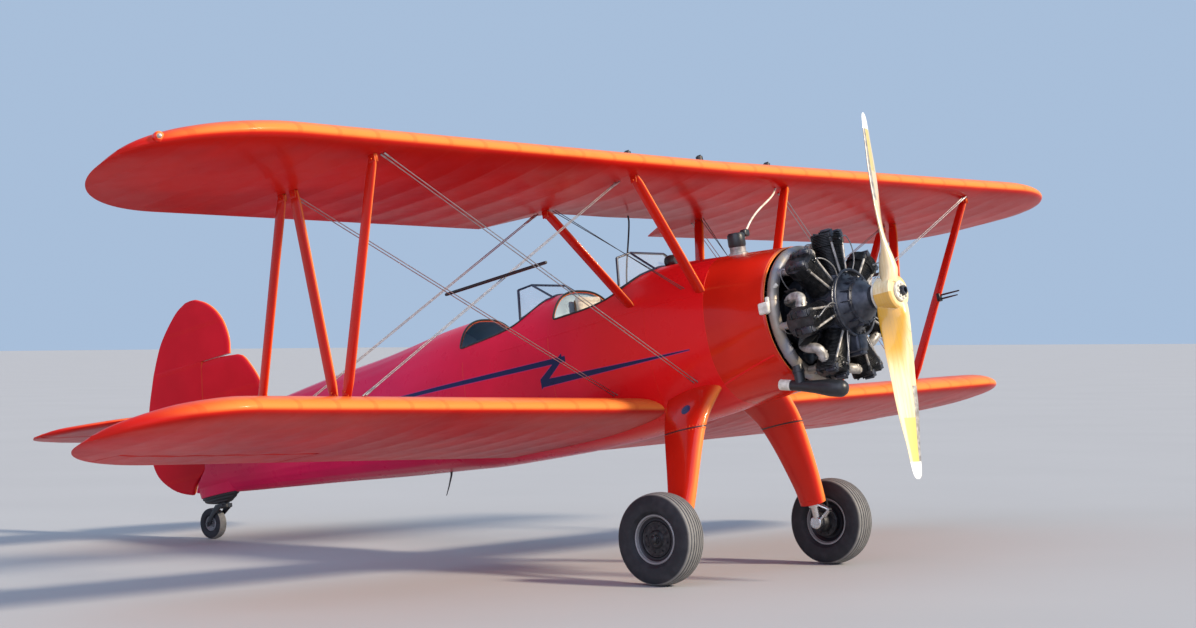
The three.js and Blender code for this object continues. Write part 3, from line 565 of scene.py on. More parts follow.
# The four wing panels and the centre section: spruce spars and ribs under doped fabric, which
# sags between the ribs and has a tape sewn along each. The nose back to the front spar is
# sheet metal and keeps its shape.
chord = 1.524
wings = {
    "upper": {"x": -1.103, "z": 1.130, "incidence": 4.05, "dihedral": 0.41, "half_span": 4.900,
              "nose_run": 0.950, "tail_run": 1.020, "bow": 0.600},
    "lower": {"x": -1.748, "z": -0.426, "incidence": 3.07, "dihedral": 1.57, "half_span": 4.650,
              "nose_run": 0.650, "tail_run": 1.020, "bow": 0.810},
}
rib_gap = 0.312
rib_sag = 0.0042
metal_nose = 0.11
tape_half = 0.019
thinnest_tip = 0.230
rib_crease = 32.0
section_places = [(1 - math.cos(math.pi * i / 34)) / 2 for i in range(1, 35)]


def section_height(f, side):
    """Height of the wing section above (1) or below (-1), as a share of the chord."""
    camber = 0.5 * (0.4 * f - f * f) if f < 0.2 else 0.03125 * (0.6 + 0.4 * f - f * f)
    half = 0.65 * (0.2969 * math.sqrt(f) - 0.126 * f - 0.3516 * f ** 2 + 0.2843 * f ** 3 - 0.1015 * f ** 4)
    return camber + side * max(half, 0.0016)


def wing_point(name, y, aft, height):
    """A point of a wing, from its place behind the nose and above the chord line."""
    wing = wings[name]
    lift = height + abs(y) * math.tan(math.radians(wing["dihedral"]))
    turn = Matrix.Rotation(-math.radians(wing["incidence"]), 4, "Y")
    return Vector((wing["x"], 0.0, wing["z"])) + turn @ Vector((-aft, y, lift))


def wing_plan(name, y):
    """Nose and tail of the plan shape at a span, and how deep the section is there."""
    wing = wings[name]
    out = abs(y)
    nose_share = max(0.0, (out - wing["half_span"] + wing["nose_run"]) / wing["nose_run"])
    tail_share = max(0.0, (out - wing["half_span"] + wing["tail_run"]) / wing["tail_run"])
    nose = wing["bow"] * (1 - math.sqrt(max(0.0, 1 - nose_share ** 2)))
    tail = chord - (chord - wing["bow"]) * (1 - math.sqrt(max(0.0, 1 - tail_share ** 2)))
    return nose, tail, max(thinnest_tip, chord * max(0.0, (tail - nose) / chord) ** 0.9)


def sagged(y, f):
    """How far the fabric has sunk between two ribs, as a share."""
    bay = (abs(y) / rib_gap) % 1.0
    aft = min(max((f - metal_nose) / 0.1, 0.0), 1.0) * min(max((1.0 - f) / 0.06, 0.0), 1.0)
    return 4 * bay * (1 - bay) * aft


def wing_ring(name, y, limit=math.inf, cut_tail=None):
    """Points round a wing at one span, from the nose over the top and back below, up to a limit aft."""
    nose, tail, depth = wing_plan(name, y)
    ring = [wing_point(name, y, nose, 0.0)]
    for side, places in ((1, section_places), (-1, section_places[::-1])):
        for share in places:
            f = min(share, (limit - nose) / (tail - nose))
            sag = rib_sag * sagged(y, f) * min(depth / chord, 1.0)
            aft = nose + (tail - nose) * f
            if cut_tail and f > 0.3:
                aft = 0.3 * chord + (cut_tail - 0.3 * chord) * (f - 0.3) / 0.7
            ring.append(wing_point(name, y, aft, depth * section_height(f, side) - side * sag))
    return ring


def tip_spans(wing):
    """Spans from the last full rib out to the tip, closer and closer together."""
    start = wing["half_span"] - max(wing["nose_run"], wing["tail_run"])
    return [start + (wing["half_span"] - start) * math.sin(math.radians(a)) for a in steps(0, 89.2, 30)]


def fabric_on_ribs(name, along, off, gap, tint):
    """The red dope on a ribbed surface: tapes sewn along its ribs, and the weave."""
    finish, shader, place, shade = red_coat(name, 0.06, tint, 0.06)
    rib_axis = abs(on_datum(place).axes()[along] + off)
    apart = abs((rib_axis + gap / 2) % gap - gap / 2)
    tape = (tape_half + 0.0015 - apart).faded(0.0, 0.003)
    run = place.axes()[0]
    stitch = (apart < 0.0035) * ((run % 0.062) < 0.022)
    height = tape * 0.40 + stitch * 0.5 + woven(place, weave_pitch) * 0.02 + place.noise(7.0, 3.0) * 0.5
    grime = place.noise(3.0, 5.0).faded(0.55, 0.8) * 0.25
    taped = (tape * 0.15).blended(shade, (0.63, 0.018, 0.010, 1))
    feed(shader, {
        "Base Color": (grime + tape * 0.05).blended(taped, (0.40, 0.012, 0.010, 1)),
        "Roughness": place.noise(11.0, 4.0) * 0.16 + 0.26,
        "Normal": height.bumped(0.0012, 0.8),
    })
    return finish


wing_tint = (0.60, 0.012, 0.008)
wing_fabric = fabric_on_ribs("red_wing_fabric", 1, 0.0, rib_gap, wing_tint)
aileron = {"from": 2.560, "to": 4.180, "hinge": 0.765 * chord, "nose": 0.044, "gap": 0.007}
cove = aileron["hinge"] - aileron["nose"] - aileron["gap"]
cut_from = aileron["from"] - aileron["gap"]
cut_to = aileron["to"] + aileron["gap"]
centre_half = 0.95
panels = [("upper", centre_half + 0.0003), ("lower", 0.120)]
for name, root in panels:
    wing = wings[name]
    tip_start = wing["half_span"] - max(wing["nose_run"], wing["tail_run"])
    for label, side in both_sides:
        span_count = 1 + int((tip_start - root) / (rib_gap / 8))
        spans = steps(root, tip_start, span_count) + tip_spans(wing)[1:]
        if name == "lower":
            spans = sorted(spans + [cut_from - 0.0001, cut_from, cut_to, cut_to + 0.0001])
        rings = []
        for y in spans:
            in_cut = name == "lower" and cut_from - 1e-6 <= y <= cut_to + 1e-6
            rings.append(wing_ring(name, side * y, cove if in_cut else math.inf))
        piece(f"{name}_wing_{label}_skin", skin(rings), [wing_fabric],
              [f"{name}_wing_{label}"], rib_crease)

centre_tail = [(0.0, 1.122), (0.520, 1.122), (0.620, 1.140), (0.740, 1.220), (0.840, 1.360), (0.930, 1.500),
               (0.950, 1.524)]
centre_rings = [wing_ring("upper", y, cut_tail=between(centre_tail, abs(y))[0])
                for y in steps(-centre_half, centre_half, 61)]
piece("upper_wing_center_skin", skin(centre_rings), [wing_fabric],
      ["upper_wing_center"], rib_crease)


def aileron_ring(y):
    """Points round an aileron: its skins from the hinge line to the tail, and its round nose."""
    nose, tail, depth = wing_plan("lower", y)
    f_hinge = (aileron["hinge"] - nose) / (tail - nose)
    places = steps(f_hinge, 1.0, 13)
    ring = []
    for side, run in ((1, places), (-1, places[::-1])):
        for f in run:
            height = depth * section_height(f, side) - side * rib_sag * sagged(y, f)
            ring.append(wing_point("lower", y, nose + (tail - nose) * f, height))
    top, bottom = (depth * section_height(f_hinge, side) for side in (1, -1))
    for angle in steps(-90, 90, 13)[1:-1]:
        rise = math.sin(math.radians(angle)) * (top - bottom) / 2
        ring.append(wing_point("lower", y,
                               aileron["hinge"] - aileron["nose"] * math.cos(math.radians(angle)),
                               (top + bottom) / 2 + rise))
    return ring


for label, side in both_sides:
    spans = steps(aileron["from"], aileron["to"],
                  1 + round((aileron["to"] - aileron["from"]) / (rib_gap / 8)))
    piece(f"aileron_{label}_skin", skin([aileron_ring(side * y) for y in spans]),
          [wing_fabric],
          [f"aileron_{label}"], rib_crease, f"aileron_{label}")

# Fin and rudder: welded steel tube frames under fabric. The rudder's horn reaches forward over
# the fin, and both hinge on a sloping line at the stern.
hinge_foot = Vector((-6.820, 0.0, 0.013))
hinge_head = Vector((-6.685, 0.0, 0.892))
rudder_nose = 0.022
horn_foot = 0.894
control_gap = 0.007
tail_tape = 0.205
upright_tape = 0.300
# The fin and rudder red leans to magenta: a painted reflection of the sky on their upright faces.
upright_sky_tint = (0.58, 0.007, 0.018)


def hinge_x(z):
    return hinge_foot.x + (hinge_head.x - hinge_foot.x) * (z - hinge_foot.z) / (hinge_head.z - hinge_foot.z)


def leaf(front, back, half, nose_run, tail_half=0.004, count=12):
    """A thin symmetrical section as (x, across): a round nose, then a straight taper aft."""
    nose_run = min(nose_run, 0.5 * (front - back))
    upper = []
    for i in range(count + 1):
        angle = 0.5 * math.pi * i / count
        upper.append((front - nose_run * (1 - math.cos(angle)), half * math.sin(angle)))
    for share in (0.35, 0.7, 1.0):
        upper.append((front - nose_run - (front - nose_run - back) * share,
                      half + (tail_half - half) * share))
    return upper + [(x, -across) for x, across in upper[:0:-1]]


fin_rows = [(0.330, -5.900), (0.476, -5.965), (0.644, -6.030), (0.760, -6.100), (0.850, -6.180),
            (0.878, -6.270)]
fin_top_round = [(0.882, -6.330), (0.888, -6.420)]
tail_fabric_upright = fabric_on_ribs("red_fin_fabric", 2, 0.02, upright_tape, upright_sky_tint)
tail_fabric_level = fabric_on_ribs("red_tailplane_fabric", 1, 0.08, tail_tape, wing_tint)
fin_rings = []
for z in steps(0.330, 0.888, 30):
    front = between(fin_rows + fin_top_round, z)[0]
    back = hinge_x(z) + rudder_nose + control_gap
    half = 0.026 * min(1.0, 0.35 + (0.892 - z) * 14)
    fin_rings.append([Vector((x, y, z)) for x, y in leaf(front, back, half, 0.11, half * 0.85)])
piece("fin_skin", skin(fin_rings), [tail_fabric_upright], ["fin"])

rudder_rows = [
    (-0.165, -6.985, -7.010), (-0.133, -6.965, -7.125), (-0.081, -6.932, -7.240), (0.016, -6.7975, -7.366),
    (0.100, -6.7846, -7.424), (0.208, -6.7681, -7.450), (0.377, -6.7421, -7.450), (0.606, -6.7069, -7.406),
    (0.893, -6.6628, -7.290), (0.8960, -6.322, -7.288), (1.016, -6.307, -7.222), (1.128, -6.330, -7.150),
    (1.214, -6.370, -7.070), (1.298, -6.440, -6.975), (1.366, -6.535, -6.880), (1.410, -6.640, -6.775),
]


def rudder_ring(z, rows):
    front, back = between(rows, z)
    half = min(rudder_nose, 0.2 * (front - back))
    return [Vector((x, y, z)) for x, y in leaf(front, back, half, rudder_nose if z < horn_foot else 0.06)]


blade_rows = rudder_rows[:9]
horn_rows = [(z, front, back) for z, front, back in rudder_rows[9:]]
rudder_spans = [rudder_ring(z, blade_rows) for z in steps(-0.165, 0.893, 56)]
rudder_spans += [rudder_ring(z, horn_rows) for z in steps(0.896, 1.410, 34)]
piece("rudder_skin", skin(rudder_spans), [tail_fabric_upright], ["rudder"], body="rudder")

# Tailplane and elevators: steel tube and fabric too, hinged on one line across the stern. Each
# table gives a span and how far forward or aft the plan shape reaches there.
elevator_hinge = {"x": -6.670, "z": 0.330}
stab_rows = [(0.001, -5.760), (0.900, -5.860), (1.200, -5.915), (1.420, -6.030), (1.570, -6.190),
             (1.690, -6.370), (1.745, -6.510), (1.760, -6.610)]
elevator_rows = [(0.062, -6.700), (0.200, -6.990), (0.380, -7.080), (0.900, -7.090), (1.240, -7.030),
                 (1.440, -6.965), (1.590, -6.905), (1.690, -6.835), (1.752, -6.740)]
elevator_nose = 0.020


def tip_close(y, end, run):
    """1 inboard, and down to a thin edge at the end of a surface."""
    share = max(0.0, (y - end + run) / run)
    return math.sqrt(max(0.05, 1 - share ** 2))


for label, side in both_sides:
    stab_rings = []
    for y in steps(0.001, 1.760, 62):
        front = between(stab_rows, y)[0]
        back = elevator_hinge["x"] + elevator_nose + control_gap
        half = 0.024 * tip_close(y, 1.762, 0.10)
        stab_rings.append([Vector((x, side * y, elevator_hinge["z"] + z))
                           for x, z in leaf(front, back, half, 0.16, half * 0.85)])
    piece(f"stabilizer_{label}_skin", skin(stab_rings), [tail_fabric_level],
          [f"stabilizer_{label}"])
    elevator_rings = []
    for y in steps(0.062, 1.752, 62):
        tail = between(elevator_rows, y)[0]
        half = elevator_nose * tip_close(y, 1.756, 0.06)
        elevator_rings.append([Vector((x, side * y, elevator_hinge["z"] + z))
                               for x, z in leaf(elevator_hinge["x"] + elevator_nose, tail, half,
                                                elevator_nose)])
    piece(f"elevator_{label}_skin", skin(elevator_rings), [tail_fabric_level],
          [f"elevator_{label}"], body="elevators")

# Struts: streamlined steel tube in red enamel, with a fork and bolt in the same red at each end of the
# interplane struts and at the top of the cabane struts.
# The interplane set stands on the wing spars, and the cabane set on the fuselage side.
strut_width, strut_thickness = 0.084, 0.034
front_spar, rear_spar = 0.168, 0.972
enamel, enamel_shader, enamel_at, enamel_shade = red_coat("red_enamel", 0.35, (0.62, 0.014, 0.006))
feed(enamel_shader, {
    "Base Color": enamel_shade,
    "Roughness": enamel_at.noise(14.0, 4.0) * 0.14 + 0.16,
    "Normal": (enamel_at.noise(11.0, 2.0) + enamel_at.noise(120.0, 2.0) * 0.08).bumped(0.0012, 0.4),
})
steel = worn_finish("brushed_steel", (60.0, 5.0), (0.30, 0.30, 0.31), (0.55, 0.55, 0.56), (0.25, 0.22),
                    (0.0003, 0.3), grain=(240.0, 3.0), Metallic=1.0)


def drop_section(width, thickness, count=28):
    """A streamlined section as (along, across), blunt ahead and thin aft."""
    points = []
    for i in range(count):
        angle = 2 * math.pi * i / count
        along = math.cos(angle)
        across = math.sin(angle) * (0.80 + 0.28 * along) * (1.0 if along > -0.2
                                                            else 1 + 0.25 * (along + 0.2))
        points.append((width * 0.5 * along, thickness * 0.54 * across))
    return points


def tube(points, radius, count=12, around=False):
    """A round rod through points. The radius is a number, or one for each point."""
    points = [Vector(p) for p in points]
    last = len(points) - 1
    side = None
    rings = []
    for i, point in enumerate(points):
        if around:
            tangent = points[(i + 1) % len(points)] - points[i - 1]
        else:
            tangent = points[min(i + 1, last)] - points[max(i - 1, 0)]
        tangent.normalize()
        side = tangent.orthogonal() if side is None else side - tangent * side.dot(tangent)
        side.normalize()
        other = tangent.cross(side)
        r = radius[i] if isinstance(radius, (list, tuple)) else radius
        rings.append([point + (side * math.cos(a) + other * math.sin(a)) * r
                      for a in (2 * math.pi * k / count for k in range(count))])
    return skin(rings, around=around)


def strut_skin(low, high, width, thickness):
    """A strut between two ends, each a function from (along, across) to a point on its seat."""
    section = drop_section(width, thickness)
    rings = []
    for share in (0.0, 0.004, 0.06, 0.5, 0.94, 0.996, 1.0):
        slim = 0.62 if share in (0.0, 1.0) else 0.80 if share in (0.004, 0.996) else 1.0
        rings.append([low(u * slim, v * slim).lerp(high(u * slim, v * slim), share) for u, v in section])
    return skin(rings)


def cast_box(size, place, bevel, segments=3):
    """A block with rounded edges."""
    block = bmesh.new()
    bmesh.ops.create_cube(block, size=1.0)
    bmesh.ops.scale(block, vec=size, verts=block.verts)
    bmesh.ops.bevel(block, geom=block.edges[:], offset=bevel, affect="EDGES", segments=segments,
                    profile=0.5,
                    material=-1)
    bmesh.ops.translate(block, vec=place, verts=block.verts)
    return block


def end_fitting(seat_point, up, across):
    """The fork on a spar: two cheeks and the bolt through them."""
    parts = [cast_box((0.050, 0.004, 0.052), seat_point + up * 0.018 + across * shift, 0.0015, 2)
             for shift in (-0.012, 0.012)]
    bolt_from = seat_point + up * 0.026 - across * 0.023
    parts.append(tube([bolt_from, bolt_from + across * 0.046], 0.0065, 6))
    return gathered(parts)


def on_wing(name, y, aft, side, lift=0.0):
    """A point on a wing's top (1) or bottom (-1) skin, aft of its nose."""
    return wing_point(name, y, aft, chord * section_height(aft / chord, side) + side * lift)


ahead = Vector((1, 0, 0))
abeam = Vector((0, 1, 0))
upright = Vector((0, 0, 1))
interplane = [("front", front_spar, front_spar), ("rear", rear_spar, rear_spar),
              ("diagonal", rear_spar - 0.105, front_spar + 0.110)]
strut_lower, strut_upper = 3.179, 3.334
fittings = []
for label, side in both_sides:
    for name, upper_aft, lower_aft in interplane:
        low = lambda u, v: on_wing("lower", side * strut_lower + v, lower_aft - u, 1, 0.0003)
        high = lambda u, v: on_wing("upper", side * strut_upper + v, upper_aft - u, -1, 0.0003)
        piece(f"interplane_strut_{name}_{label}_tube", strut_skin(low, high, strut_width, strut_thickness),
              [enamel], [f"interplane_strut_{name}_{label}"], 40.0)
        fittings.append(end_fitting(low(0.0, 0.0), upright, abeam))
        fittings.append(end_fitting(high(0.0, 0.0), -upright, abeam))

cabane_foot, cabane_top = 0.400, 0.866
cabane = [("front", -1.217, 0.250, front_spar), ("rear", -1.835, 0.300, rear_spar)]
for label, side in both_sides:
    for name, x, z, aft in cabane:
        low = lambda u, v: Vector((x + u, side * cabane_foot + v, z))
        high = lambda u, v: on_wing("upper", side * cabane_top + v, aft - u, -1, 0.0003)
        piece(f"cabane_strut_{name}_{label}_tube", strut_skin(low, high, strut_width, strut_thickness),
              [enamel], [f"cabane_strut_{name}_{label}"], 40.0)
        fittings.append(end_fitting(high(0.0, 0.0), -upright, abeam))
piece("strut_end_fittings", fittings, [enamel])

# Flying and landing wires: streamlined steel rods in pairs, with a fork and locknut at each
# end, and the black spreader that keeps them apart where they cross.
wire_radius = 0.0031
pair_gap = 0.030
wire_lift = 0.0043
landing_foot = 3.050
bays = [
    ("front", (-1.400, 0.370, -0.323), 0.130, (0.260, 0.930), 0.150),
    ("rear", (-2.090, 0.370, -0.287), 0.930, (1.040, 0.890), rear_spar),
]


def wire_pair(start, end):
    """Two wires side by side, each thicker at its ends."""
    parts = []
    run = (end - start).normalized()
    for shift in (-0.5, 0.5):
        a = start + Vector((shift * pair_gap, 0, 0))
        b = end + Vector((shift * pair_gap, 0, 0))
        length = (b - a).length
        places = [0.0, 0.05, 0.052, 0.11, 0.115, length - 0.115, length - 0.11, length - 0.052,
                  length - 0.05, length]
        thick = [0.006, 0.006, 0.0045, 0.0045, wire_radius]
        parts.append(tube([a + run * p for p in places], thick + thick[::-1], 8))
    return gathered(parts)


for label, side in both_sides:
    for name, foot, top_aft, landing_top, foot_aft in bays:
        runs = {
            "flying": (Vector((foot[0], side * foot[1], foot[2])),
                       on_wing("upper", side * (strut_upper - 0.045), top_aft, -1, wire_lift)),
            "landing": (on_wing("upper", side * landing_top[1], landing_top[0], -1, wire_lift),
                        on_wing("lower", side * landing_foot, foot_aft, 1, wire_lift)),
        }
        for kind, ends in runs.items():
            piece(f"{kind}_wires_{name}_{label}", wire_pair(*ends), [steel],
                  [f"{kind}_wire_{name}_{label}"])

black_metal = worn_finish("black_enamel", (26.0, 5.0), (0.010, 0.011, 0.013), (0.026, 0.027, 0.030),
                          (0.3, 0.22), (0.0005, 0.3), grain=(90.0, 3.0))
spreader_radius = 0.011
for label, side in both_sides:
    low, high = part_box(f"wire_spreader_{label}")
    middle = (low.y + high.y) / 2
    aft_end = datum.inverted() @ Vector((low.x, middle, low.z + spreader_radius))
    fore_end = datum.inverted() @ Vector((high.x, middle, high.z - spreader_radius))
    rows = [(0.0, 0.003), (0.004, 0.009), (0.02, 0.011), (0.5, 0.011), (0.98, 0.011), (0.996, 0.009),
            (1.0, 0.003)]
    piece(f"wire_spreader_{label}_rod",
          tube([aft_end.lerp(fore_end, share) for share, _ in rows], [r for _, r in rows], 16),
          [black_metal], [f"wire_spreader_{label}"])

# Main gear legs: the oleo struts stand inside a broad sheet-metal fairing that widens into the
# belly, with a seam and screws at its middle joint. Below it the bare steel piston and its
# torque links reach down to the axle.
leg_rows = [
    (-0.330, 0.285, -1.470, 0.480, 0.170), (-0.470, 0.440, -1.450, 0.420, 0.170),
    (-0.630, 0.560, -1.432, 0.345, 0.140), (-1.060, 0.725, -1.420, 0.235, 0.112),
    (-1.290, 0.800, -1.440, 0.190, 0.096), (-1.410, 0.815, -1.448, 0.120, 0.070),
]
leg_end = -1.200
leg_slope = 0.36


def leg_ring(z, side, grow=0.0, count=44):
    """Points round a leg's fairing. They tilt towards its end, which is cut square to the leg."""
    y, x, width, thickness = between(leg_rows, z)
    tilt = leg_slope * side * min(max((leg_end + 0.200 - z) / 0.150, 0.0), 1.0)
    return [Vector((x + u, side * y + v, z + tilt * v))
            for u, v in drop_section(width + grow, thickness + grow, count)]


def turns(count, shift=0.0):
    """Even angles round a circle."""
    return [2 * math.pi * (i + shift) / count for i in range(count)]


def in_wheel(angle, radius):
    """The way from an axle to a place round it."""
    return Vector((math.cos(angle), 0, math.sin(angle))) * radius


def round_shaft(x, angle, radius):
    """A place round the crankshaft, from the top over to port."""
    return Vector((x, radius * math.sin(angle), radius * math.cos(angle)))


def turned(profile, count=64):
    """A mesh turned about the X axis from a profile of (along, radius) pairs."""
    bm = bmesh.new()
    verts = [bm.verts.new((along, radius, 0.0)) for along, radius in profile]
    for a, b in zip(verts, verts[1:]):
        bm.edges.new((a, b))
    bmesh.ops.spin(bm, geom=bm.verts[:] + bm.edges[:], cent=(0, 0, 0), axis=(1, 0, 0), dvec=(0, 0, 0),
                   angle=2 * math.pi, steps=count, use_merge=True)
    bmesh.ops.remove_doubles(bm, verts=bm.verts, dist=1e-6)
    bmesh.ops.recalc_face_normals(bm, faces=bm.faces)
    return bm


def aimed(bm, origin, direction):
    """Turns a mesh drawn along X to a direction, and moves it to its place."""
    turn = Vector(direction).normalized().to_track_quat("X", "Z").to_matrix().to_4x4()
    bmesh.ops.transform(bm, matrix=Matrix.Translation(Vector(origin)) @ turn, verts=bm.verts)
    return bm


def lathed(profile, count, origin, direction):
    """A turned mesh, moved to its place with its axis in a direction."""
    return aimed(turned(profile, count), origin, direction)


def bolt_head(origin, direction, radius, height):
    """A six-sided bolt head with a chamfer, on a washer."""
    return lathed([(0.0, 0.0), (0.0, radius * 1.3), (height * 0.2, radius * 1.3), (height * 0.2, radius),
                   (height * 0.9, radius), (height, radius * 0.8), (height, 0.0)], 6, origin, direction)


navy_enamel = worn_finish("navy_enamel", (50.0, 4.0), (0.012, 0.018, 0.070), (0.035, 0.045, 0.130),
                          (0.25, 0.22), (0.0004, 0.3))
bright_steel = worn_finish("bright_steel", (45.0, 5.0), (0.50, 0.50, 0.51), (0.82, 0.82, 0.83),
                           (0.25, 0.14),
                           (0.0003, 0.3), Metallic=1.0)
leather_black = worn_finish("black_leather", (160.0, 4.0), (0.012, 0.011, 0.011), (0.030, 0.028, 0.026),
                            (0.3, 0.35), (0.0008, 0.6))
for label, side in both_sides:
    leg_rings = [leg_ring(z, side) for z in steps(-0.330, leg_end, 44)]
    leg_rings += [leg_ring(leg_end, side, -0.008), leg_ring(leg_end + 0.020, side, -0.012)]
    piece(f"gear_leg_{label}_fairing", skin(leg_rings), [enamel],
          [f"gear_leg_{label}"], 50.0)
    seams = []
    for seam_z, seam_half in ((-0.630, 0.0045), (-1.170, 0.003)):
        rows = [(-seam_half, 0.0005), (-seam_half * 0.8, 0.0035), (seam_half * 0.8, 0.0035),
                (seam_half, 0.0005)]
        seam = skin([leg_ring(seam_z + dz, side, grow) for dz, grow in rows])
        if seam_z > -1.0:
            piece(f"gear_leg_{label}_joint", seam, [black_metal])
        else:
            seams.append(seam)
    for seam_z in (-0.642, -0.618):
        for point in leg_ring(seam_z, side, 0.002, 36):
            y, x, width, thickness = between(leg_rows, seam_z)
            out = Vector((0.12 * (point.x - x), point.y - side * y, 0.0)).normalized()
            seams.append(tube([point - out * 0.002, point + out * 0.0012], [0.0042, 0.0030], 8))
    piece(f"gear_leg_{label}_seams", seams, [enamel])
    round_plate = min(leg_ring(-0.495, side, 0.0, 180), key=lambda p: abs(p.x + 1.410) - 0.2 * side * p.y)
    plate_out = Vector((0.0, side, 0.70))
    leg_plates = [lathed([(-0.010, 0.0), (-0.010, 0.036), (0.003, 0.036), (0.005, 0.033), (0.005, 0.017),
                          (0.003, 0.015), (0.003, 0.0)], 40, round_plate, plate_out)]
    piece(f"gear_leg_{label}_round_plate", leg_plates, [navy_enamel])
    piston_top = Vector((-1.418, side * 0.765, -1.165))
    knuckle = Vector((-1.448, side * 0.822, -1.335))
    run = (knuckle - piston_top).normalized()
    oleo = [tube([piston_top, knuckle], 0.027, 28),
            tube([piston_top + run * 0.030, piston_top + run * 0.032, piston_top + run * 0.058,
                  piston_top + run * 0.060], [0.027, 0.040, 0.040, 0.027], 28)]
    apex = Vector((-1.325, side * 0.806, -1.262))
    for spread in (-0.020, 0.020):
        oleo.append(tube([piston_top + run * 0.045 + Vector((0.030, spread, 0)),
                          apex + Vector((0, spread * 0.4, 0))],
                         [0.010, 0.0075], 10))
        oleo.append(tube([knuckle + Vector((0.036, spread, 0.010)), apex + Vector((0, spread * 0.4, 0))],
                         [0.010, 0.0075], 10))
    oleo.append(tube([apex + Vector((0, -0.018, 0)), apex + Vector((0, 0.018, 0))], 0.011, 16))
    oleo.append(lathed([(-0.036, 0.0), (-0.036, 0.040), (-0.030, 0.046), (0.004, 0.046), (0.008, 0.040),
                        (0.008, 0.0)], 36, knuckle, Vector((0, side, 0))))
    piece(f"gear_leg_{label}_oleo", oleo, [bright_steel])

# Main wheels: ribbed low-pressure tyres on cast rims, a dark hub plate with a ring of
# bolts outboard, and the brake drum with its backing plate and hose inboard.
main_wheel = {"x": -1.448, "y": 0.988, "z": -1.335, "radius": 0.3065, "half_width": 0.096, "rim": 0.165}


def off_axle(place, wheel):
    """How far a place is from the line through a wheel's axle."""
    axle = datum @ Vector((wheel["x"], 0.0, wheel["z"]))
    x, _, z = place.axes()
    forward = x - axle.x
    over = z - axle.z
    square = forward * forward + over * over
    return square.math("SQRT", square)


def tyre_finish(name, wheel):
    """Black rubber, a lighter grey on the tread of one kind of wheel."""
    finish, shader, place = new_finish(name)
    dust = place.noise(18.0, 6.0)
    black = dust.faded(0.35, 0.75).blended((0.007, 0.008, 0.012, 1), (0.022, 0.022, 0.027, 1))
    tread_grey = dust.blended((0.10, 0.10, 0.10, 1), (0.24, 0.23, 0.22, 1))
    on_tread = off_axle(place, wheel).faded(wheel["radius"] * 0.93, wheel["radius"] * 0.965)
    feed(shader, {
        "Base Color": on_tread.blended(black, tread_grey),
        "Roughness": dust * 0.25 + 0.58,
        "Normal": place.noise(180.0, 3.0).bumped(0.0006, 0.5),
    })
    return finish


tread_rubber = tyre_finish("tyre_rubber", main_wheel)
# Hoses, sleeves and grips are plain black rubber. The rims are silver castings, and the hub
# plates, drums and caps a dark metal.
rubber, rubber_shader, rubber_at = new_finish("plain_black_rubber")
rubber_bloom = rubber_at.noise(25.0, 5.0)
feed(rubber_shader, {
    "Base Color": rubber_bloom.blended((0.012, 0.012, 0.014, 1), (0.030, 0.030, 0.032, 1)),
    "Roughness": rubber_bloom * 0.2 + 0.55,
})
wheel_silver, silver_shader, silver_at = new_finish("cast_wheel_silver", Metallic=0.5)
silver_cast = silver_at.noise(90.0, 4.0)
silver_ring = off_axle(silver_at, main_wheel).faded(0.143, 0.148)
feed(silver_shader, {
    "Base Color": silver_ring.blended((0.020, 0.021, 0.027, 1), silver_at.noise(12.0, 5.0).blended(
        (0.20, 0.20, 0.21, 1), (0.34, 0.34, 0.35, 1))),
    "Roughness": silver_cast * 0.3 + 0.30,
    "Normal": silver_cast.bumped(0.0005, 0.4),
})
hub_dark = worn_finish("hub_dark_metal", (40.0, 5.0), (0.016, 0.016, 0.020), (0.060, 0.058, 0.060),
                       (0.3, 0.32), (0.0006, 0.3), fade=(0.3, 0.8), Metallic=0.6)


def tyre_section(radius, half_width, rim, grooves):
    """Profile of a tyre from bead to bead over the tread, with its grooves and shoulder ribs."""
    bead = 0.68 * half_width
    outer = [(bead, rim), (bead * 1.10, rim + 0.004), (0.93 * half_width, rim + 0.16 * (radius - rim)),
             (0.985 * half_width, rim + 0.34 * (radius - rim)),
             (0.998 * half_width, rim + 0.52 * (radius - rim)),
             (0.97 * half_width, rim + 0.68 * (radius - rim)),
             (0.905 * half_width, rim + 0.80 * (radius - rim)),
             (0.900 * half_width, rim + 0.815 * (radius - rim)),
             (0.86 * half_width, rim + 0.865 * (radius - rim)),
             (0.78 * half_width, rim + 0.925 * (radius - rim))]

    def crown(along):
        share = abs(along) / (0.78 * half_width)
        return radius - 0.075 * (radius - rim) * share ** 2.2

    tread = []
    depth = 0.045 * (radius - rim)
    for centre in grooves:
        for shift, down in ((0.055, 0.0), (0.045, 1.0), (-0.045, 1.0), (-0.055, 0.0)):
            along = (centre + shift) * half_width
            tread.append((along, crown(along) - down * depth))
    half = outer + tread
    mirrored = [(-along, r) for along, r in half[::-1]]
    return half + mirrored + [half[0]]


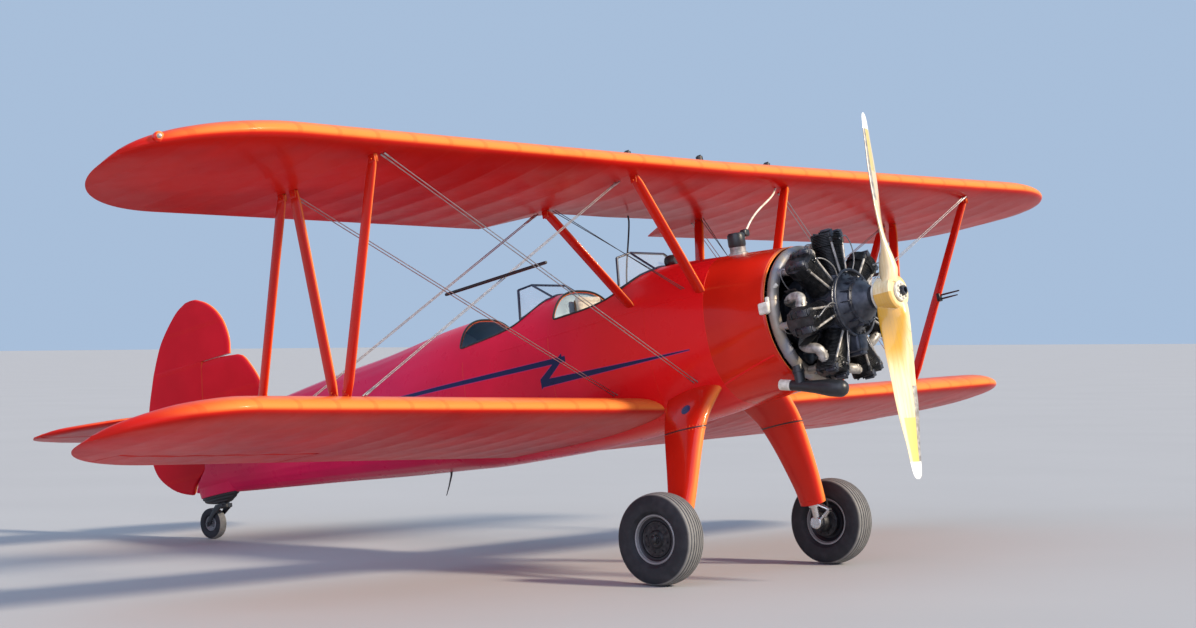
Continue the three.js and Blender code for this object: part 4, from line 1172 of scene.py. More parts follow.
rim_outer = main_wheel["rim"] - 0.0003
bead_half = 0.68 * main_wheel["half_width"]
for label, side in both_sides:
    centre = Vector((main_wheel["x"], side * main_wheel["y"], main_wheel["z"]))
    outboard = Vector((0, side, 0))
    body = f"main_wheel_{label}"
    tyre = turned(tyre_section(main_wheel["radius"], main_wheel["half_width"], main_wheel["rim"],
                               (0.62, 0.37, 0.13)), 112)
    piece(f"main_tyre_{label}_tread", aimed(tyre, centre, outboard), [tread_rubber],
          [f"main_tyre_{label}"], 28.0, body)
    rim = turned([
        (bead_half, rim_outer), (bead_half + 0.003, rim_outer - 0.004),
        (bead_half + 0.001, rim_outer - 0.012),
        (bead_half - 0.012, rim_outer - 0.018), (bead_half - 0.020, rim_outer - 0.030),
        (bead_half - 0.020, rim_outer - 0.042), (bead_half - 0.030, rim_outer - 0.046),
        (bead_half - 0.030, 0.032), (-bead_half + 0.030, 0.032), (-bead_half + 0.030, rim_outer - 0.046),
        (-bead_half + 0.018, rim_outer - 0.030), (-bead_half + 0.010, rim_outer - 0.016),
        (-bead_half, rim_outer - 0.010), (-bead_half, rim_outer), (bead_half, rim_outer)], 96)
    piece(f"main_rim_{label}_casting", aimed(rim, centre, outboard), [wheel_silver],
          [f"main_rim_{label}"], 30.0, body)
    plate_face = bead_half - 0.029
    plate = [lathed([(plate_face - 0.002, 0.031), (plate_face + 0.020, 0.031),
                     (plate_face + 0.022, 0.034), (plate_face + 0.022, 0.050),
                     (plate_face + 0.016, 0.056), (plate_face + 0.008, 0.062),
                     (plate_face + 0.006, 0.106), (plate_face + 0.009, 0.110),
                     (plate_face + 0.009, 0.116), (plate_face - 0.002, 0.118),
                     (plate_face - 0.002, 0.031)], 72, centre, outboard)]
    for angle in turns(8, 0.5):
        spot = centre + outboard * (plate_face + 0.0065) + in_wheel(angle, 0.088)
        plate.append(bolt_head(spot, outboard, 0.0062, 0.008))
    piece(f"main_hub_plate_{label}", plate, [hub_dark], (), 30.0, body)
    cap = turned([(0.066, 0.0), (0.066, 0.0285), (0.072, 0.0290), (0.082, 0.027), (0.088, 0.020),
                  (0.090, 0.0)], 40)
    nut = [aimed(cap, centre, outboard)]
    for angle in turns(3):
        nut.append(bolt_head(centre + outboard * 0.080 + in_wheel(angle, 0.018), outboard, 0.0035, 0.006))
    piece(f"main_axle_cap_{label}", nut, [hub_dark])
    inboard_face = 0.815 - main_wheel["y"]
    drum = [lathed([(inboard_face + 0.004, 0.0), (inboard_face + 0.004, 0.062),
                    (inboard_face + 0.030, 0.070), (-0.092, 0.074), (-0.090, 0.100), (-0.084, 0.105),
                    (-0.067, 0.105), (-0.067, 0.0)], 60, centre, outboard)]
    for angle in turns(9):
        drum.append(bolt_head(centre - outboard * 0.089 + in_wheel(angle, 0.088), -outboard, 0.006, 0.008))
    piece(f"main_axle_{label}_brake", drum, [hub_dark], [f"main_axle_{label}"])
    shaft = [
        lathed([(-0.067, 0.0), (-0.067, 0.0299), (0.068, 0.0299), (0.068, 0.0)], 32, centre, outboard),
        lathed([(inboard_face + 0.030, 0.0), (inboard_face + 0.030, 0.034), (-0.096, 0.036),
                (-0.093, 0.034), (-0.093, 0.0)], 32, centre, outboard),
    ]
    piece(f"main_axle_{label}_shaft", shaft, [bright_steel])
    hose_top = Vector((-1.372, side * 0.742, -1.060))
    hose_end = centre - outboard * 0.096 + Vector((0.052, 0, 0.060))
    hose = [hose_top, hose_top + Vector((0.030, side * 0.040, -0.060)),
            hose_end + Vector((0.030, -side * 0.030, 0.06)),
            hose_end + Vector((0.004, -side * 0.008, 0.010)), hose_end]
    piece(f"brake_hose_{label}", tube(rounded([tuple(p) for p in hose], 3), 0.0055, 10),
          [rubber])

# The tail wheel: a solid rubber tyre on a small rim in a forked casting, which steers in a
# leather-booted knuckle under the stern.
tail_wheel = {"x": -6.811, "z": -0.430, "radius": 0.127, "half_width": 0.042, "rim": 0.062}
tail_hub = Vector((tail_wheel["x"], 0.0, tail_wheel["z"]))
steer_x, steer_bottom = -6.650, -0.285
tail_tyre = turned(tyre_section(tail_wheel["radius"], tail_wheel["half_width"], tail_wheel["rim"],
                                (0.45, 0.15)), 80)
piece("tail_tyre_tread", aimed(tail_tyre, tail_hub, abeam),
      [tyre_finish("tail_tyre_rubber", tail_wheel)], ["tail_tyre"], 28.0, "tail_wheel")
tail_bead = 0.68 * tail_wheel["half_width"]
tail_rim = [lathed([(tail_bead, 0.0617), (tail_bead + 0.002, 0.058), (tail_bead - 0.006, 0.050),
                    (tail_bead - 0.010, 0.046), (tail_bead - 0.010, 0.024), (tail_bead, 0.020),
                    (tail_bead, 0.010), (-tail_bead, 0.010), (-tail_bead, 0.020),
                    (-tail_bead + 0.010, 0.024), (-tail_bead + 0.010, 0.046), (-tail_bead + 0.006, 0.050),
                    (-tail_bead - 0.002, 0.058), (-tail_bead, 0.0617), (tail_bead, 0.0617)], 64, tail_hub,
                   abeam)]
for side in (-1, 1):
    for angle in turns(6):
        spot = tail_hub + abeam * side * (tail_bead - 0.0105) + in_wheel(angle, 0.035)
        tail_rim.append(bolt_head(spot, abeam * side, 0.004, 0.006))
piece("tail_rim_casting", tail_rim, [wheel_silver], ["tail_rim"], 30.0, "tail_wheel")

boot_rows = [(steer_bottom, -6.740, -6.570, 0.048), (-0.262, -6.850, -6.510, 0.052),
             (-0.170, -6.920, -6.390, 0.058),
             (-0.130, -6.920, -6.370, 0.058)]
boot_top = -0.212


def boot_ring(z, grow):
    """Points round the boot at a height."""
    back, front, half = between(boot_rows, z)
    return [Vector(((back + front) / 2 + ((front - back) / 2 + grow) * math.cos(a),
                    (half + grow) * math.sin(a), z))
            for a in turns(48)]


boot_rings = [boot_ring(z, 0.0030 * math.sin((z - steer_bottom) * 2 * math.pi / 0.024))
              for z in steps(steer_bottom, boot_top, 28)]
piece("tail_wheel_boot", skin(boot_rings), [leather_black], ["tail_wheel_knuckle"], 60.0)
collar_rows = [(boot_top - 0.004, 0.002), (boot_top - 0.003, 0.005), (boot_top + 0.003, 0.005),
               (boot_top + 0.012, 0.003),
               (-0.130, 0.003)]
piece("tail_wheel_collar", skin([boot_ring(z, grow) for z, grow in collar_rows]),
      [hull_finish])

fork_parts = [lathed([(0.0, 0.0), (0.0, 0.040), (0.005, 0.046), (0.0405, 0.046), (0.0447, 0.042),
                      (0.0447, 0.0)], 48, (steer_x, 0, steer_bottom - 0.045), upright)]
for side in (-1, 1):
    tine = bmesh.new()
    outline = [(steer_x + 0.035, -0.295), (steer_x - 0.045, -0.295), (-6.790, -0.380), (-6.835, -0.425),
               (-6.834, -0.445), (-6.820, -0.455), (-6.800, -0.453), (-6.787, -0.440), (-6.730, -0.378),
               (steer_x + 0.010, -0.330)]
    corners = [tine.verts.new((x, side * 0.0505, z)) for x, z in outline]
    face = tine.faces.new(corners)
    grown = bmesh.ops.extrude_face_region(tine, geom=[face])["geom"]
    outer = [item for item in grown if isinstance(item, bmesh.types.BMVert)]
    bmesh.ops.translate(tine, vec=(0, side * 0.009, 0), verts=outer)
    bmesh.ops.recalc_face_normals(tine, faces=tine.faces)
    bmesh.ops.bevel(tine, geom=tine.edges[:], offset=0.0025, affect="EDGES", segments=2, profile=0.5,
                    material=-1)
    fork_parts.append(tine)
    fork_parts.append(bolt_head(tail_hub + abeam * side * 0.0590, abeam * side, 0.011, 0.010))
fork_parts.append(cast_box((0.080, 0.118, 0.034), (steer_x - 0.005, 0, -0.312), 0.008))
fork_parts.append(tube([tail_hub - abeam * 0.055, tail_hub + abeam * 0.055], 0.009, 20))
piece("tail_wheel_fork_casting", fork_parts, [black_metal], ["tail_wheel_fork"],
      body="tail_fork")

# The accessory cowl: sheet-metal panels rolled round the back of the engine, open in front,
# with a rolled bead on the front edge and rows of fasteners along its seams.
cowl_wall = 0.006
cowl_shell = skin([hull_ring(x) for x in steps(cowl_front, firewall + 0.0003, 24)], start=False)
cowl_piece = piece("accessory_cowl_panels", cowl_shell, [enamel, hub_dark], ["accessory_cowl"])
cowl_solid = cowl_piece.modifiers.new("wall", "SOLIDIFY")
cowl_solid.thickness = cowl_wall
cowl_solid.offset = -1.0
cowl_solid.material_offset = 1
lip = tube([point + Vector((0.001, 0, 0)) for point in hull_ring(cowl_front, -0.005, 96)], 0.0065, 12,
           around=True)
piece("cowl_front_bead", lip, [enamel])

# Panel seams and screws are laid on the fuselage skin itself: a thin raised strip follows each
# line, given in side view, with a screw every few centimetres.
screw_gap = 0.085
hull_surface = skin([hull_ring(x) for x in steps(cowl_front, stern_end, 130)])
hull_tree = BVHTree.FromBMesh(hull_surface)
hull_surface.free()


def on_hull(x, z, side, lift=0.0):
    """The point of the fuselage side level with a place in side view, and the way out there."""
    found, normal, _, _ = hull_tree.ray_cast(Vector((x, side * 1.2, z)), Vector((0, -side, 0)))
    if normal.dot(Vector((0, side, 0))) < 0:
        normal = -normal
    return found + normal * lift, normal


def on_deck(x, y, lift=0.0):
    """The point of the top deck over a place in plan view, and the way out there."""
    found, normal, _, _ = hull_tree.ray_cast(Vector((x, y, 1.2)), Vector((0, 0, -1)))
    if normal.z < 0:
        normal = -normal
    return found + normal * lift, normal


seam_lines = [
    [(-1.196, 0.42), (-1.196, 0.15), (-1.20, -0.20), (-1.20, -0.44)],
    [(-0.72, -0.262), (-0.90, -0.300), (-1.10, -0.345), (-1.28, -0.390)],
    [(-1.20, 0.262), (-1.55, 0.275), (-2.20, 0.262), (-3.10, 0.250)],
    [(-1.72, 0.262), (-1.72, 0.0), (-1.72, -0.40)],
    [(-2.62, 0.25), (-2.62, 0.0), (-2.62, -0.38)],
    [(-3.48, 0.245), (-3.48, 0.0), (-3.48, -0.36)],
]
seam_parts = []
for line in seam_lines:
    for side in (-1, 1):
        path = rounded(line, 2)
        fine = []
        for (x0, z0), (x1, z1) in zip(path, path[1:]):
            count = max(2, int(math.hypot(x1 - x0, z1 - z0) / 0.03))
            fine += [(x0 + (x1 - x0) * i / count, z0 + (z1 - z0) * i / count) for i in range(count)]
        fine.append(path[-1])
        strip = []
        for (x, z), (nx, nz) in zip(fine, fine[1:] + [fine[-2]]):
            point, normal = on_hull(x, z, side)
            run = (Vector((nx - x, 0, nz - z)) if (nx, nz) != fine[-2] or (x, z) != fine[-1]
                   else Vector((x - nx, 0, z - nz))).normalized()
            across = run.cross(normal).normalized()
            strip.append([point + across * w * 0.007 + normal * h for w, h in
                          ((-1, -0.001), (-0.8, 0.0016), (0.8, 0.0016), (1, -0.001))])
        seam_parts.append(skin(strip))
        travelled = 0.0
        for (x0, z0), (x1, z1) in zip(fine, fine[1:]):
            travelled += math.hypot(x1 - x0, z1 - z0)
            if travelled > screw_gap:
                travelled = 0.0
                point, normal = on_hull(x0, z0, side, 0.0012)
                seam_parts.append(lathed([(0.0, 0.0), (0.0, 0.0042), (0.0012, 0.0034), (0.0016, 0.0)], 8,
                                         point, normal))
piece("fuselage_seams_and_screws", seam_parts, [hull_finish])

# The engine: a seven-cylinder radial. Nickel-grey and black castings, whose blue tint is a painted
# reflection of the sky: a crankcase in two halves with a round nose case ahead of it, and a bolted ring of
# cylinder pads.
cylinder_count = 7
cylinder_x = -0.420
cylinder_angles = turns(cylinder_count)
# Soot clouds the castings at random; their dark blue tint is a painted sky reflection.
castings, casting_shader, casting_at = new_finish("engine_castings", Metallic=0.45)
casting_soot = casting_at.noise(22.0, 6.0)
feed(casting_shader, {
    "Base Color": casting_soot.faded(0.25, 0.85).blended((0.022, 0.026, 0.038, 1),
                                                         (0.085, 0.090, 0.108, 1)),
    "Roughness": casting_soot * 0.25 + 0.20,
    "Normal": (casting_soot * 0.6 + casting_at.noise(240.0, 3.0)).bumped(0.0006, 0.5),
})
cylinder_black = worn_finish("cylinder_black_paint", (30.0, 6.0), (0.006, 0.007, 0.009),
                             (0.045, 0.044, 0.046),
                             (0.3, 0.24), (0.0006, 0.5), fade=(0.3, 0.8), grain=(200.0, 3.0), Metallic=0.2)
polished = worn_finish("polished_engine_metal", (45.0, 6.0), (0.30, 0.29, 0.29), (0.72, 0.71, 0.70),
                       (0.25, 0.14), (0.0004, 0.3), fade=(0.35, 0.7), Metallic=1.0)
satin = worn_finish("satin_aluminium", (30.0, 6.0), (0.22, 0.205, 0.19), (0.50, 0.47, 0.44), (0.25, 0.32),
                    (0.0005, 0.4), fade=(0.3, 0.75), grain=(200.0, 3.0), Metallic=0.35)
crankcase_profile = [
    (-1.1995, 0.0), (-1.1995, 0.085), (-1.020, 0.085), (-1.015, 0.118), (-0.900, 0.122), (-0.895, 0.140),
    (-0.770, 0.140), (-0.765, 0.188), (-0.690, 0.192), (-0.684, 0.246), (-0.672, 0.250), (-0.565, 0.250),
    (-0.556, 0.240), (-0.552, 0.204), (-0.505, 0.198), (-0.500, 0.200), (-0.345, 0.200), (-0.338, 0.208),
    (-0.322, 0.208), (-0.316, 0.196), (-0.300, 0.176), (-0.262, 0.158), (-0.240, 0.150), (-0.232, 0.156),
    (-0.220, 0.156), (-0.214, 0.136), (-0.190, 0.118), (-0.160, 0.096), (-0.140, 0.082), (-0.132, 0.080),
    (-0.124, 0.062), (-0.119, 0.056), (-0.119, 0.0)]


def radial(bm, angle):
    """Turns a mesh drawn for the top cylinder round the crankshaft to another's place."""
    bmesh.ops.rotate(bm, cent=(0, 0, 0), matrix=Matrix.Rotation(-angle, 3, "X"), verts=bm.verts)
    return bm


def laid(bm, place, lean=0.0):
    """Tips a mesh drawn round its own middle about Y, and puts it in its place."""
    bmesh.ops.rotate(bm, cent=(0, 0, 0), matrix=Matrix.Rotation(lean, 3, "Y"), verts=bm.verts)
    bmesh.ops.translate(bm, vec=place, verts=bm.verts)
    return bm


crank_parts = [turned(crankcase_profile, 84)]
for angle in turns(28):
    crank_parts.append(bolt_head(round_shaft(-0.322, angle, 0.200), ahead, 0.0055, 0.009))
for angle in turns(14, 0.5):
    crank_parts.append(bolt_head(round_shaft(-0.2195, angle, 0.148), ahead, 0.005, 0.008))
    crank_parts.append(radial(cast_box((0.085, 0.007, 0.060), (-0.265, 0, 0.140), 0.002, 2), angle))
for angle in cylinder_angles:
    pad = turned([(0.168, 0.0), (0.168, 0.094), (0.204, 0.094), (0.204, 0.0)], 40)
    crank_parts.append(aimed(pad, (cylinder_x, 0, 0), round_shaft(0.0, angle, 1.0)))
piece("engine_crankcase", crank_parts, [castings], ["engine"])

# Each cylinder: a steel barrel with close thin fins, and a cast head with deeper ones, held to
# its pad by a ring of nuts. Sheet baffles close the gaps between neighbours.
barrel_radius = 0.074
barrel_fins, fin_from, fin_to = 19, 0.214, 0.398
head_fins, head_from, head_to = 8, 0.410, 0.484


def finned(first, last, count, valley, crest, thickness):
    """Profile of evenly spaced cooling fins."""
    points = []
    for place in steps(first, last, count):
        points += [(place - thickness, valley), (place - thickness * 0.5, crest),
                   (place + thickness * 0.5, crest),
                   (place + thickness, valley)]
    return points


barrel_profile = [(0.190, 0.0), (0.190, 0.092), (0.199, 0.092), (0.201, 0.080), (0.206, barrel_radius)]
barrel_profile += finned(fin_from, fin_to, barrel_fins, barrel_radius, 0.0915, 0.0022)
barrel_profile += [(0.402, 0.078), (0.402, 0.0)]
head_profile = [(0.398, 0.0), (0.398, 0.084)] + finned(head_from, head_to, head_fins, 0.080, 0.1035, 0.0028)
head_profile += [(0.488, 0.070), (0.492, 0.040), (0.493, 0.0)]
barrels, heads, baffles = [], [], []
for angle in cylinder_angles:
    barrels.append(radial(lathed(barrel_profile, 44, (cylinder_x, 0, 0), upright), angle))
    for turn in turns(12, 0.5):
        spot = Vector((cylinder_x + 0.084 * math.cos(turn), 0.084 * math.sin(turn), 0.198))
        barrels.append(radial(bolt_head(spot, upright, 0.0055, 0.009), angle))
    heads.append(radial(lathed(head_profile, 48, (cylinder_x, 0, 0), upright), angle))
    between_angle = angle + math.pi / cylinder_count
    for lean in (-1, 1):
        sheet = bmesh.new()
        bmesh.ops.create_grid(sheet, x_segments=1, y_segments=6, size=0.5)
        bmesh.ops.scale(sheet, vec=(0.090, 0.165, 1.0), verts=sheet.verts)
        bmesh.ops.rotate(sheet, cent=(0, 0, 0), matrix=Matrix.Rotation(math.radians(90), 3, "X"),
                         verts=sheet.verts)
        bmesh.ops.translate(sheet, vec=(cylinder_x - 0.085, 0, 0.352), verts=sheet.verts)
        bmesh.ops.solidify(sheet, geom=sheet.faces[:], thickness=0.0016)
        bmesh.ops.rotate(sheet, cent=(0, 0, 0.27), matrix=Matrix.Rotation(lean * math.radians(12), 3, "X"),
                         verts=sheet.verts)
        baffles.append(radial(sheet, between_angle))
piece("engine_cylinder_barrels", barrels, [cylinder_black], (), 30.0)
piece("engine_cylinder_heads", heads, [cylinder_black], (), 30.0)
piece("engine_baffles", baffles, [black_metal])

# On each head: two rocker boxes with bolted covers, two push-rod tubes in rubber sleeves down
# to the nose case, an intake pipe round the back, and two plugs with braided leads.
rocker = {"y": 0.056, "half": 0.024, "back": -0.085, "front": 0.087, "foot": 0.455, "top": 0.520}
push_rod = {"ahead": 0.075, "y": 0.068, "foot": 0.150}


rocker_boxes, rocker_covers, rod_tubes, sleeves, intakes, leads, plugs = [], [], [], [], [], [], []
for angle in cylinder_angles:
    for side in (-1, 1):
        y = side * rocker["y"]
        middle = cylinder_x + (rocker["back"] + rocker["front"]) / 2
        length = rocker["front"] - rocker["back"]
        rocker_boxes.append(radial(cast_box((length - 0.012, 0.044, 0.046), (middle, y, 0.478), 0.012),
                                   angle))
        for x in (-0.045, 0.0, 0.045):
            rocker_boxes.append(radial(cast_box((0.005, 0.050, 0.056), (cylinder_x + x, y, 0.480), 0.001,
                                                1), angle))
        rocker_covers.append(radial(cast_box((0.074, 0.046, 0.014), (cylinder_x + 0.046, y, 0.508), 0.005),
                                    angle))
        rocker_covers.append(radial(cast_box((0.060, 0.036, 0.010), (cylinder_x + 0.046, y, 0.5145),
                                             0.0045), angle))
        for x, across in ((0.014, -0.018), (0.014, 0.018), (0.078, -0.018), (0.078, 0.018)):
            rocker_covers.append(radial(bolt_head(Vector((cylinder_x + x, y + across, 0.513)), upright,
                                                  0.0035, 0.005),
                                        angle))
        end = lathed([(0.0, 0.0), (0.0, 0.019), (0.004, 0.021), (0.010, 0.021), (0.012, 0.012),
                      (0.012, 0.0)], 24, (cylinder_x + rocker["front"] - 0.010, y, 0.484), ahead)
        rocker_covers.append(radial(end, angle))
        rod_x = cylinder_x + push_rod["ahead"]
        rod_y = side * push_rod["y"]
        foot = Vector((rod_x + 0.012, side * 0.030, 0.185))
        top = Vector((rod_x, rod_y, 0.458))
        rod_tubes.append(radial(tube([foot, top], 0.0085, 14), angle))
        run = (top - foot).normalized()
        for end_point, inward in ((foot, run), (top, -run)):
            sleeves.append(radial(tube([end_point + inward * d for d in (0.002, 0.006, 0.028, 0.032)],
                                       [0.0125, 0.014, 0.014, 0.010], 16), angle))
    pipe = rounded([(-0.600, 0.105, 0.215), (-0.602, 0.122, 0.280), (-0.570, 0.152, 0.345),
                    (-0.490, 0.166, 0.372),
                    (-0.430, 0.160, 0.380), (-0.418, 0.120, 0.410), (-0.418, 0.082, 0.430)], 3)
    swell = [0.0215 + 0.0125 * min(max((p[0] + 0.560) / 0.060, 0.0), 1.0) for p in pipe]
    intakes.append(radial(tube(pipe, swell, 20), angle))
    intakes.append(radial(cast_box((0.062, 0.014, 0.062), (-0.418, 0.112, 0.414), 0.006, 2), angle))
    for x, z in ((-0.442, 0.392), (-0.394, 0.392), (-0.442, 0.438), (-0.394, 0.438)):
        intakes.append(radial(bolt_head(Vector((x, 0.118, z)), abeam, 0.0042, 0.006), angle))
    intakes.append(radial(tube([Vector(pipe[0]) + Vector((0, 0, 0.002)),
                                Vector(pipe[0]) + Vector((0, 0, 0.022))], 0.028, 18),
                          angle))
    for face in (1, -1):
        base = Vector((cylinder_x + face * 0.098, face * 0.010, 0.446))
        plug_run = Vector((face * 0.9, 0.0, 0.30)).normalized()
        plugs.append(radial(tube([base - plug_run * 0.014, base + plug_run * 0.004], 0.011, 6), angle))
        plugs.append(radial(tube([base, base + plug_run * 0.030], 0.0075, 12), angle))
        tip = base + plug_run * 0.028
        if face > 0:
            way = [tuple(tip), tuple(tip + plug_run * 0.024), (-0.262, 0.042, 0.405),
                   (-0.268, 0.066, 0.300),
                   (-0.288, 0.046, 0.226)]
        else:
            way = [tuple(tip), tuple(tip + plug_run * 0.030), (-0.580, -0.050, 0.440),
                   (-0.590, -0.070, 0.330),
                   (-0.560, -0.060, 0.252)]
        leads.append(radial(tube(rounded(way, 3), 0.0042, 10), angle))
harness = [round_shaft(-0.288, a, 0.226) for a in turns(72)]
piece("engine_ignition_harness", tube(harness, 0.0100, 14, around=True), [castings])
piece("engine_rocker_boxes", rocker_boxes, [cylinder_black])
piece("engine_rocker_covers", rocker_covers, [castings], (), 30.0)
piece("engine_push_rod_tubes", rod_tubes, [satin])
piece("engine_push_rod_sleeves", sleeves, [rubber])
piece("engine_intake_pipes", intakes, [satin])
piece("engine_spark_plugs", plugs, [polished])
braid, braid_shader, braid_at = new_finish("braided_lead", Metallic=0.5)
braid_weave = woven(braid_at, 0.0022) * 0.5 + 0.5
feed(braid_shader, {
    "Base Color": braid_weave.blended((0.10, 0.10, 0.11, 1), (0.42, 0.41, 0.40, 1)),
    "Roughness": braid_weave * -0.15 + 0.5,
    "Normal": braid_weave.bumped(0.0005, 0.5),
})
piece("engine_ignition_leads", leads, [braid])

# Accessories: a starter and oil sump seen below and behind the cylinders, and the mount ring
# with its struts to the firewall corners.
accessory = [
    lathed([(-0.60, 0.0), (-0.60, 0.060), (-0.56, 0.066), (-0.50, 0.066), (-0.49, 0.050), (-0.49, 0.0)], 36,
           (-0.215, 0, -0.262), ahead),
    cast_box((0.150, 0.120, 0.120), (-0.345, 0.0, -0.268), 0.022, 4),
    cast_box((0.110, 0.070, 0.030), (-0.330, 0.0, -0.335), 0.010, 3),
    cast_box((0.130, 0.130, 0.150), (-0.930, 0.0, -0.210), 0.020, 3),
]
for side in (1, -1):
    magneto = turned([(0.0, 0.0), (0.0, 0.046), (0.11, 0.046), (0.12, 0.036), (0.12, 0.0)], 32)
    accessory.append(aimed(magneto, (-0.980, side * 0.105, 0.090), ahead))
accessory.append(tube([round_shaft(-0.760, a, 0.305) for a in turns(64)], 0.016, 14, around=True))
for y in (-1, 1):
    for z in (-1, 1):
        for spread in (0.55, 1.0):
            ring_point = Vector((-0.762, 0.305 * y * math.sin(spread), 0.305 * z * math.cos(spread)))
            accessory.append(tube([ring_point, (-1.195, y * 0.300, z * 0.320)], 0.011, 12))
piece("engine_accessories_and_mount", accessory, [castings])

# The small heater muff beside the cowl, in a pale cream paint that the tail pipe's tip and the propeller's
# hub have too. On the steel hub the pale cream is a painted highlight of sunlit metal.
pale_cream_finish = worn_finish("pale_cream_paint", (30.0, 5.0), (0.52, 0.48, 0.40), (0.80, 0.76, 0.66),
                         (0.25, 0.40), (0.0006, 0.3), fade=(0.3, 0.7))
muff = [cast_box((0.085, 0.060, 0.080), (-0.685, -0.458, 0.045), 0.014, 4),
        cast_box((0.030, 0.026, 0.110), (-0.655, -0.462, 0.062), 0.010, 3),
        tube([(-0.660, -0.440, 0.100), (-0.640, -0.430, 0.150), (-0.600, -0.400, 0.190)], 0.014, 14)]
piece("carburettor_heat_muff", muff, [pale_cream_finish])

# The exhaust: a welded steel ring behind the cylinders collects from each head through a short
# stub, and a tail pipe leaves below on the right. Heat has turned the steel tan and blue.
exhaust, exhaust_shader, exhaust_at = new_finish("heat_stained_steel", Metallic=0.6)
exhaust_stain = exhaust_at.noise(4.5, 4.0)
exhaust_heat = exhaust_stain.node("ShaderNodeValToRGB", {"stops": [
    (0.30, (0.21, 0.18, 0.15, 1)), (0.48, (0.34, 0.29, 0.24, 1)), (0.58, (0.25, 0.26, 0.31, 1)),
    (0.72, (0.40, 0.35, 0.30, 1))]}, {"Fac": exhaust_stain})
feed(exhaust_shader, {
    "Base Color": exhaust_heat,
    "Roughness": exhaust_at.noise(30.0, 5.0) * 0.25 + 0.33,
    "Normal": exhaust_at.noise(70.0, 4.0).bumped(0.0008, 0.5),
})
collector = {"x": -0.640, "ring": 0.430, "tube": 0.040}
ring_path = [round_shaft(collector["x"], a, collector["ring"]) for a in turns(96)]
exhaust_parts = [tube(ring_path, collector["tube"], 24, around=True)]
for angle in cylinder_angles:
    stub = tube([(-0.636, 0.0, 0.430), (-0.590, 0.0, 0.430), (-0.545, 0.0, 0.430), (-0.524, 0.0, 0.430)],
                [0.031, 0.026, 0.0255, 0.0255], 24)
    exhaust_parts.append(radial(stub, angle))
    collar = tube([(-0.545, 0.0, 0.430), (-0.5449, 0.0, 0.430), (-0.5335, 0.0, 0.430),
                   (-0.5334, 0.0, 0.430)],
                  [0.026, 0.034, 0.034, 0.026], 24)
    exhaust_parts.append(radial(collar, angle))
    band_angle = angle + math.pi / cylinder_count
    band = lathed([(-0.012, 0.039), (-0.011, 0.0415), (0.011, 0.0415), (0.012, 0.039)], 28,
                  (collector["x"], 0, 0.430), (0, 1, 0))
    exhaust_parts.append(radial(band, band_angle))
piece("exhaust_ring", exhaust_parts, [exhaust], ["exhaust_collector"])
pipe_front = Vector((-0.335, -0.262, -0.563))
pipe_back = Vector((-0.775, -0.303, -0.452))
pipe_run = (pipe_back - pipe_front).normalized()
pipe_length = (pipe_back - pipe_front).length
pipe_profile = [(-0.050, 0.0), (-0.048, 0.016), (-0.038, 0.038), (-0.018, 0.053), (0.0, 0.058),
                (pipe_length * 0.18, 0.058), (pipe_length * 0.42, 0.044), (pipe_length * 0.62, 0.037),
                (pipe_length * 0.84, 0.035), (pipe_length * 0.84, 0.0)]
tip_profile = [(pipe_length * 0.82, 0.0), (pipe_length * 0.82, 0.0362), (pipe_length, 0.0362),
               (pipe_length, 0.0325),
               (pipe_length - 0.070, 0.0325), (pipe_length - 0.070, 0.0)]
piece("exhaust_tail_tip", lathed(tip_profile, 40, pipe_front, pipe_run), [pale_cream_finish])
tail_pipe = [lathed(pipe_profile, 40, pipe_front, pipe_run)]
neck_foot = pipe_front.lerp(pipe_back, 0.66)
neck_top = Vector((collector["x"], -0.270, -0.335))
tail_pipe.append(tube([neck_top, neck_top.lerp(neck_foot, 0.3), neck_foot], [0.038, 0.038, 0.034], 24))
tail_pipe.append(tube([neck_top.lerp(neck_foot, 0.30), neck_top.lerp(neck_foot, 0.301),
                       neck_top.lerp(neck_foot, 0.42),
                       neck_top.lerp(neck_foot, 0.421)], [0.038, 0.0425, 0.0425, 0.038], 24))
piece("exhaust_tail_pipe", tail_pipe, [black_metal])

# The propeller: two blades and a boss carved from one laminated block of pale wood, varnished,
# with a yellow band and a white tip, and a narrow metal sheath screwed over each leading edge.
blade_table = [(0.060, 0.205, 0.138), (0.100, 0.206, 0.136), (0.160, 0.205, 0.130), (0.240, 0.202, 0.106),
               (0.320, 0.201, 0.072), (0.400, 0.200, 0.048), (0.550, 0.192, 0.034), (0.725, 0.184, 0.026),
               (0.853, 0.163, 0.021), (1.008, 0.118, 0.016), (1.120, 0.098, 0.0125), (1.190, 0.080, 0.010),
               (1.218, 0.058, 0.008), (1.232, 0.026, 0.006)]
pitch = 1.550
full_pitch_from = 0.150
flat_back_from = 0.360
blade_lean = math.radians(2.98)
band_from, tip_from = 0.83, 1.12
wood, wood_shader, wood_at = new_finish("varnished_laminated_wood", Coat_Weight=0.85, Coat_Roughness=0.06)
prop_at = on_datum(wood_at)
prop_x, prop_y, prop_z = prop_at.axes()
run_square = prop_y * prop_y + prop_z * prop_z
run_out = run_square.math("SQRT", run_square)
along_grain = prop_at.node("ShaderNodeMapping", {}, {"Vector": prop_at, "Scale": (26.0, 26.0, 1.2)})
grain = along_grain.noise(2.2, 6.0, 0.6)
plank_thickness = 0.0195
lamination = ((prop_x + grain * 0.004) % plank_thickness) < 0.0013
plank_number = prop_x / plank_thickness
plank = prop_x.node("ShaderNodeTexWhiteNoise", {"noise_dimensions": "1D"},
                    {"W": plank_number.math("FLOOR", plank_number)})
bare = grain.faded(0.3, 0.72).blended((0.78, 0.57, 0.28, 1), (0.90, 0.75, 0.46, 1))
